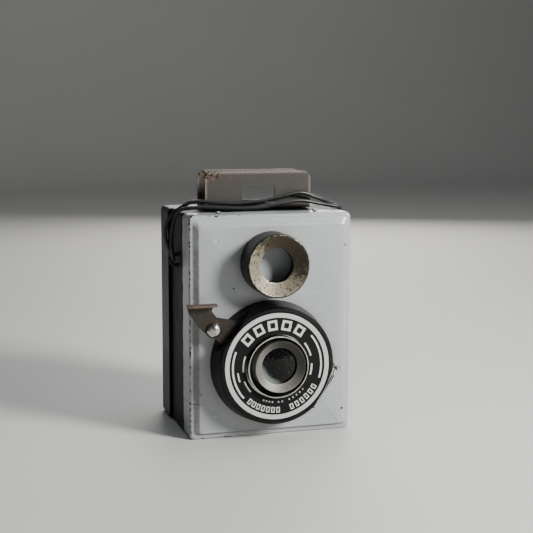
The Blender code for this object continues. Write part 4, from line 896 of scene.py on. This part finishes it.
# ---- printing on the plate ----------------------------------------------
class Stencil(Bench):
    """Geometry tree that makes white shapes for the plate; its sizes are inputs read by name."""

    def __init__(self, name, *sizes):
        super().__init__(bpy.data.node_groups.new(name, "GeometryNodeTree"))
        face = self.tree.interface
        face.new_socket("Geometry", in_out="OUTPUT", socket_type="NodeSocketGeometry")
        face.new_socket("Centre", in_out="INPUT", socket_type="NodeSocketVector")
        face.new_socket("Finish", in_out="INPUT", socket_type="NodeSocketMaterial")
        for size in ("Thickness",) + sizes:
            kind = "NodeSocketInt" if size == "Count" else "NodeSocketFloat"
            face.new_socket(size, in_out="INPUT", socket_type=kind)
        self.group = self.tree.nodes.new("NodeGroupInput")

    def given(self, size):
        """Input of that name."""
        return Wire(self, self.group.outputs[size])

    def block(self, width, height):
        """Flat outline with sides of those two inputs."""
        inputs = {"Width": self.given(width), "Height": self.given(height)}
        return self.add("GeometryNodeCurvePrimitiveQuadrilateral", inputs=inputs)

    def close(self, geometry):
        """Turns the work from the floor plane to the plate's plane and ends the tree."""
        upright = (math.radians(90.0), 0.0, 0.0)
        inputs = {"Geometry": geometry, "Rotation": upright, "Translation": self.given("Centre")}
        stand = self.add("GeometryNodeTransform", inputs=inputs)
        real = self.add("GeometryNodeRealizeInstances", inputs={0: stand})
        inputs = {"Geometry": real, "Material": self.given("Finish")}
        skin = self.add("GeometryNodeSetMaterial", inputs=inputs)
        end = self.tree.nodes.new("NodeGroupOutput")
        self.tree.links.new(skin.socket, end.inputs[0])

    def run(self, values):
        """Runs the tree on an empty mesh with these inputs and returns the plain mesh it makes."""
        carrier = bpy.data.objects.new("carrier", bpy.data.meshes.new("carrier"))
        bpy.context.scene.collection.objects.link(carrier)
        work = carrier.modifiers.new("work", "NODES")
        work.node_group = self.tree
        for item in self.tree.interface.items_tree:
            if item.in_out == "INPUT" and item.name in values:
                work[item.identifier] = values[item.name]
        carrier.update_tag()
        mesh = evaluated_mesh(carrier)
        carrier.modifiers.remove(work)
        bpy.data.objects.remove(carrier)
        return mesh


def arc_stencil():
    """One printed arc."""
    s = Stencil("printed_arc", "Radius", "Start", "Sweep", "Width")
    inputs = {
        "Resolution": 40, "Radius": s.given("Radius"), "Start Angle": s.given("Start"),
        "Sweep Angle": s.given("Sweep"),
    }
    arc = s.add("GeometryNodeCurveArc", {"mode": "RADIUS"}, inputs)
    inputs = {"Curve": arc, "Profile Curve": s.block("Width", "Thickness"), "Fill Caps": True}
    s.close(s.add("GeometryNodeCurveToMesh", inputs=inputs))
    return s


def row_stencil():
    """A row of outlined blocks set round an arc, upright to it."""
    s = Stencil("printed_row", "Count", "Radius", "Start", "Step", "Wide", "Tall", "Stroke")
    spots = s.add("GeometryNodePoints", inputs={"Count": s.given("Count")})
    turn = s.add("GeometryNodeInputIndex") * s.given("Step") + s.given("Start")
    unit = s.add("ShaderNodeCombineXYZ", inputs={0: turn.math("COSINE", turn), 1: turn.math("SINE", turn)})
    inputs = {0: unit, "Scale": s.given("Radius")}
    place = s.add("ShaderNodeVectorMath", {"operation": "SCALE"}, inputs)
    laid = s.add("GeometryNodeSetPosition", inputs={"Geometry": spots, "Position": place})
    spin = s.add("ShaderNodeCombineXYZ", inputs={2: turn - math.pi / 2.0})
    inputs = {"Curve": s.block("Wide", "Tall"), "Profile Curve": s.block("Stroke", "Thickness")}
    outline = s.add("GeometryNodeCurveToMesh", inputs=inputs)
    inputs = {"Points": laid, "Instance": outline, "Rotation": spin}
    s.close(s.add("GeometryNodeInstanceOnPoints", inputs=inputs))
    return s


PRINT_THICK = 0.05                   # thickness of the printed shapes, in millimetres like the rest
ARCS = (                             # radius, start and end in degrees, width
    (13.55, -18.0, 40.0, 0.55), (13.55, 158.0, 221.0, 0.55), (12.1, 186.0, 199.0, 0.45),
    (10.6, 14.5, 38.0, 0.5), (10.6, -17.0, 1.5, 0.5), (10.4, 160.0, 186.0, 0.45), (10.8, 201.0, 221.0, 0.4),
)
ROWS = (                             # count, radius, first and last in degrees, wide, tall, stroke
    (5, 12.35, 57.0, 137.0, 2.25, 2.3, 1.0), (7, 13.1, 230.0, 271.0, 0.82, 1.4, 0.44),
    (6, 13.1, 290.0, 329.0, 0.84, 1.4, 0.44), (4, 10.75, 247.0, 262.0, 0.28, 0.34, 0.16),
    (2, 10.75, 272.0, 278.0, 0.28, 0.34, 0.16), (5, 10.75, 290.0, 317.0, 0.28, 0.34, 0.16),
)


def make_print(finish):
    """Plain arcs and outlined blocks in white, a hair proud of the black plate."""
    common = {"Centre": (AXIS_X, PLATE_Y + 0.1, LENS_Z), "Finish": finish, "Thickness": PRINT_THICK}
    arc = arc_stencil()
    row = row_stencil()
    work = []
    for radius, start, end, width in ARCS:
        turn = {"Start": math.radians(start), "Sweep": math.radians(end - start)}
        work.append((arc, {"Radius": radius, "Width": width, **turn}))
    for count, radius, first, last, wide, tall, stroke in ROWS:
        turn = {"Start": math.radians(first), "Step": math.radians((last - first) / (count - 1))}
        block = {"Wide": wide, "Tall": tall, "Stroke": stroke}
        work.append((row, {"Count": count, "Radius": radius, **turn, **block}))
    bm = bmesh.new()
    for stencil, values in work:
        mesh = stencil.run({**common, **values})
        bm.from_mesh(mesh)
        bpy.data.meshes.remove(mesh)
    piece("plate_print", bm, finish)


# ---- everything together ------------------------------------------------
make_camera()
make_strap(strap_vinyl())
make_lights()
make_floor(pale_floor())
make_tray(tray_enamel())
make_print(print_white())

NICKEL = bright_metal("nickel", 2.0, paint(196, 194, 188), paint(150, 146, 138), 0.16)
TIN = bright_metal("tin", 3.0, paint(168, 168, 164), paint(128, 126, 120), 0.30, 0.2)
SPRING = bright_metal("spring_steel", 4.0, paint(70, 78, 76), paint(40, 46, 45), 0.34)
KNURL = bright_metal("knob_nickel", 5.0, paint(186, 184, 178), paint(140, 136, 128), 0.2)
LINER = matt_black("liner_black", 6.0)
STOP = matt_black("stop_black", 8.0)
SPOOL = black_enamel("spool_black", 9.0, (24, 24, 26), 0.36, 0.70)
FINISHES = {
    "body_shell": crackle_black(),
    "rear_cover": black_enamel("cover_black", 12.0, (11, 11, 12), 0.34, 0.71, 0.03),
    "shutter_housing": black_enamel("drum_black", 15.0, (8, 8, 9), 0.34, 0.73, 0.02),
    "name_plate": plate_black(),
    "view_ring": ring_dish(),
    "lens_ring": bright_metal(
        "bright_ring", 18.0, paint(206, 205, 198), paint(160, 157, 148), 0.16, 0.12, 0.4, (AXIS_X, LENS_Z)),
    "lens_bezel": cell_grey(),
    "lens_glass": dusty_glass(),
    "shutter_lever": lever_brass(),
    "finder_bracket": finder_enamel(),
    "red_window": red_celluloid(),
}
SHARED = (
    (NICKEL, ("lever_rivet", "lever_bush", "spring_post", "front_pin", "finder_rivet")),
    (TIN, ("lens_retainer", "shutter_base", "stop_post", "base_rivet", "shutter_ring", "blade_pivot",
           "roller_pin", "supply_pin", "takeup_pin", "wind_shaft", "knob_washer", "window_clip")),
    (SPRING, ("return_spring", "shutter_blade", "pressure_leaf")),
    (KNURL, ("wind_knob", "window_ring", "film_roller")),
    (LINER, ("light_box", "pressure_plate")),
    (STOP, ("aperture_stop",)),
    (SPOOL, ("supply_spool", "takeup_spool", "strap_lug")),
)
for name, obj in NODES.items():
    finish = FINISHES.get(name)
    for shared, starts in SHARED:
        if finish is None and name.startswith(starts):
            finish = shared
    if finish is None:
        continue
    for holder in obj.material_slots:
        holder.material = finish
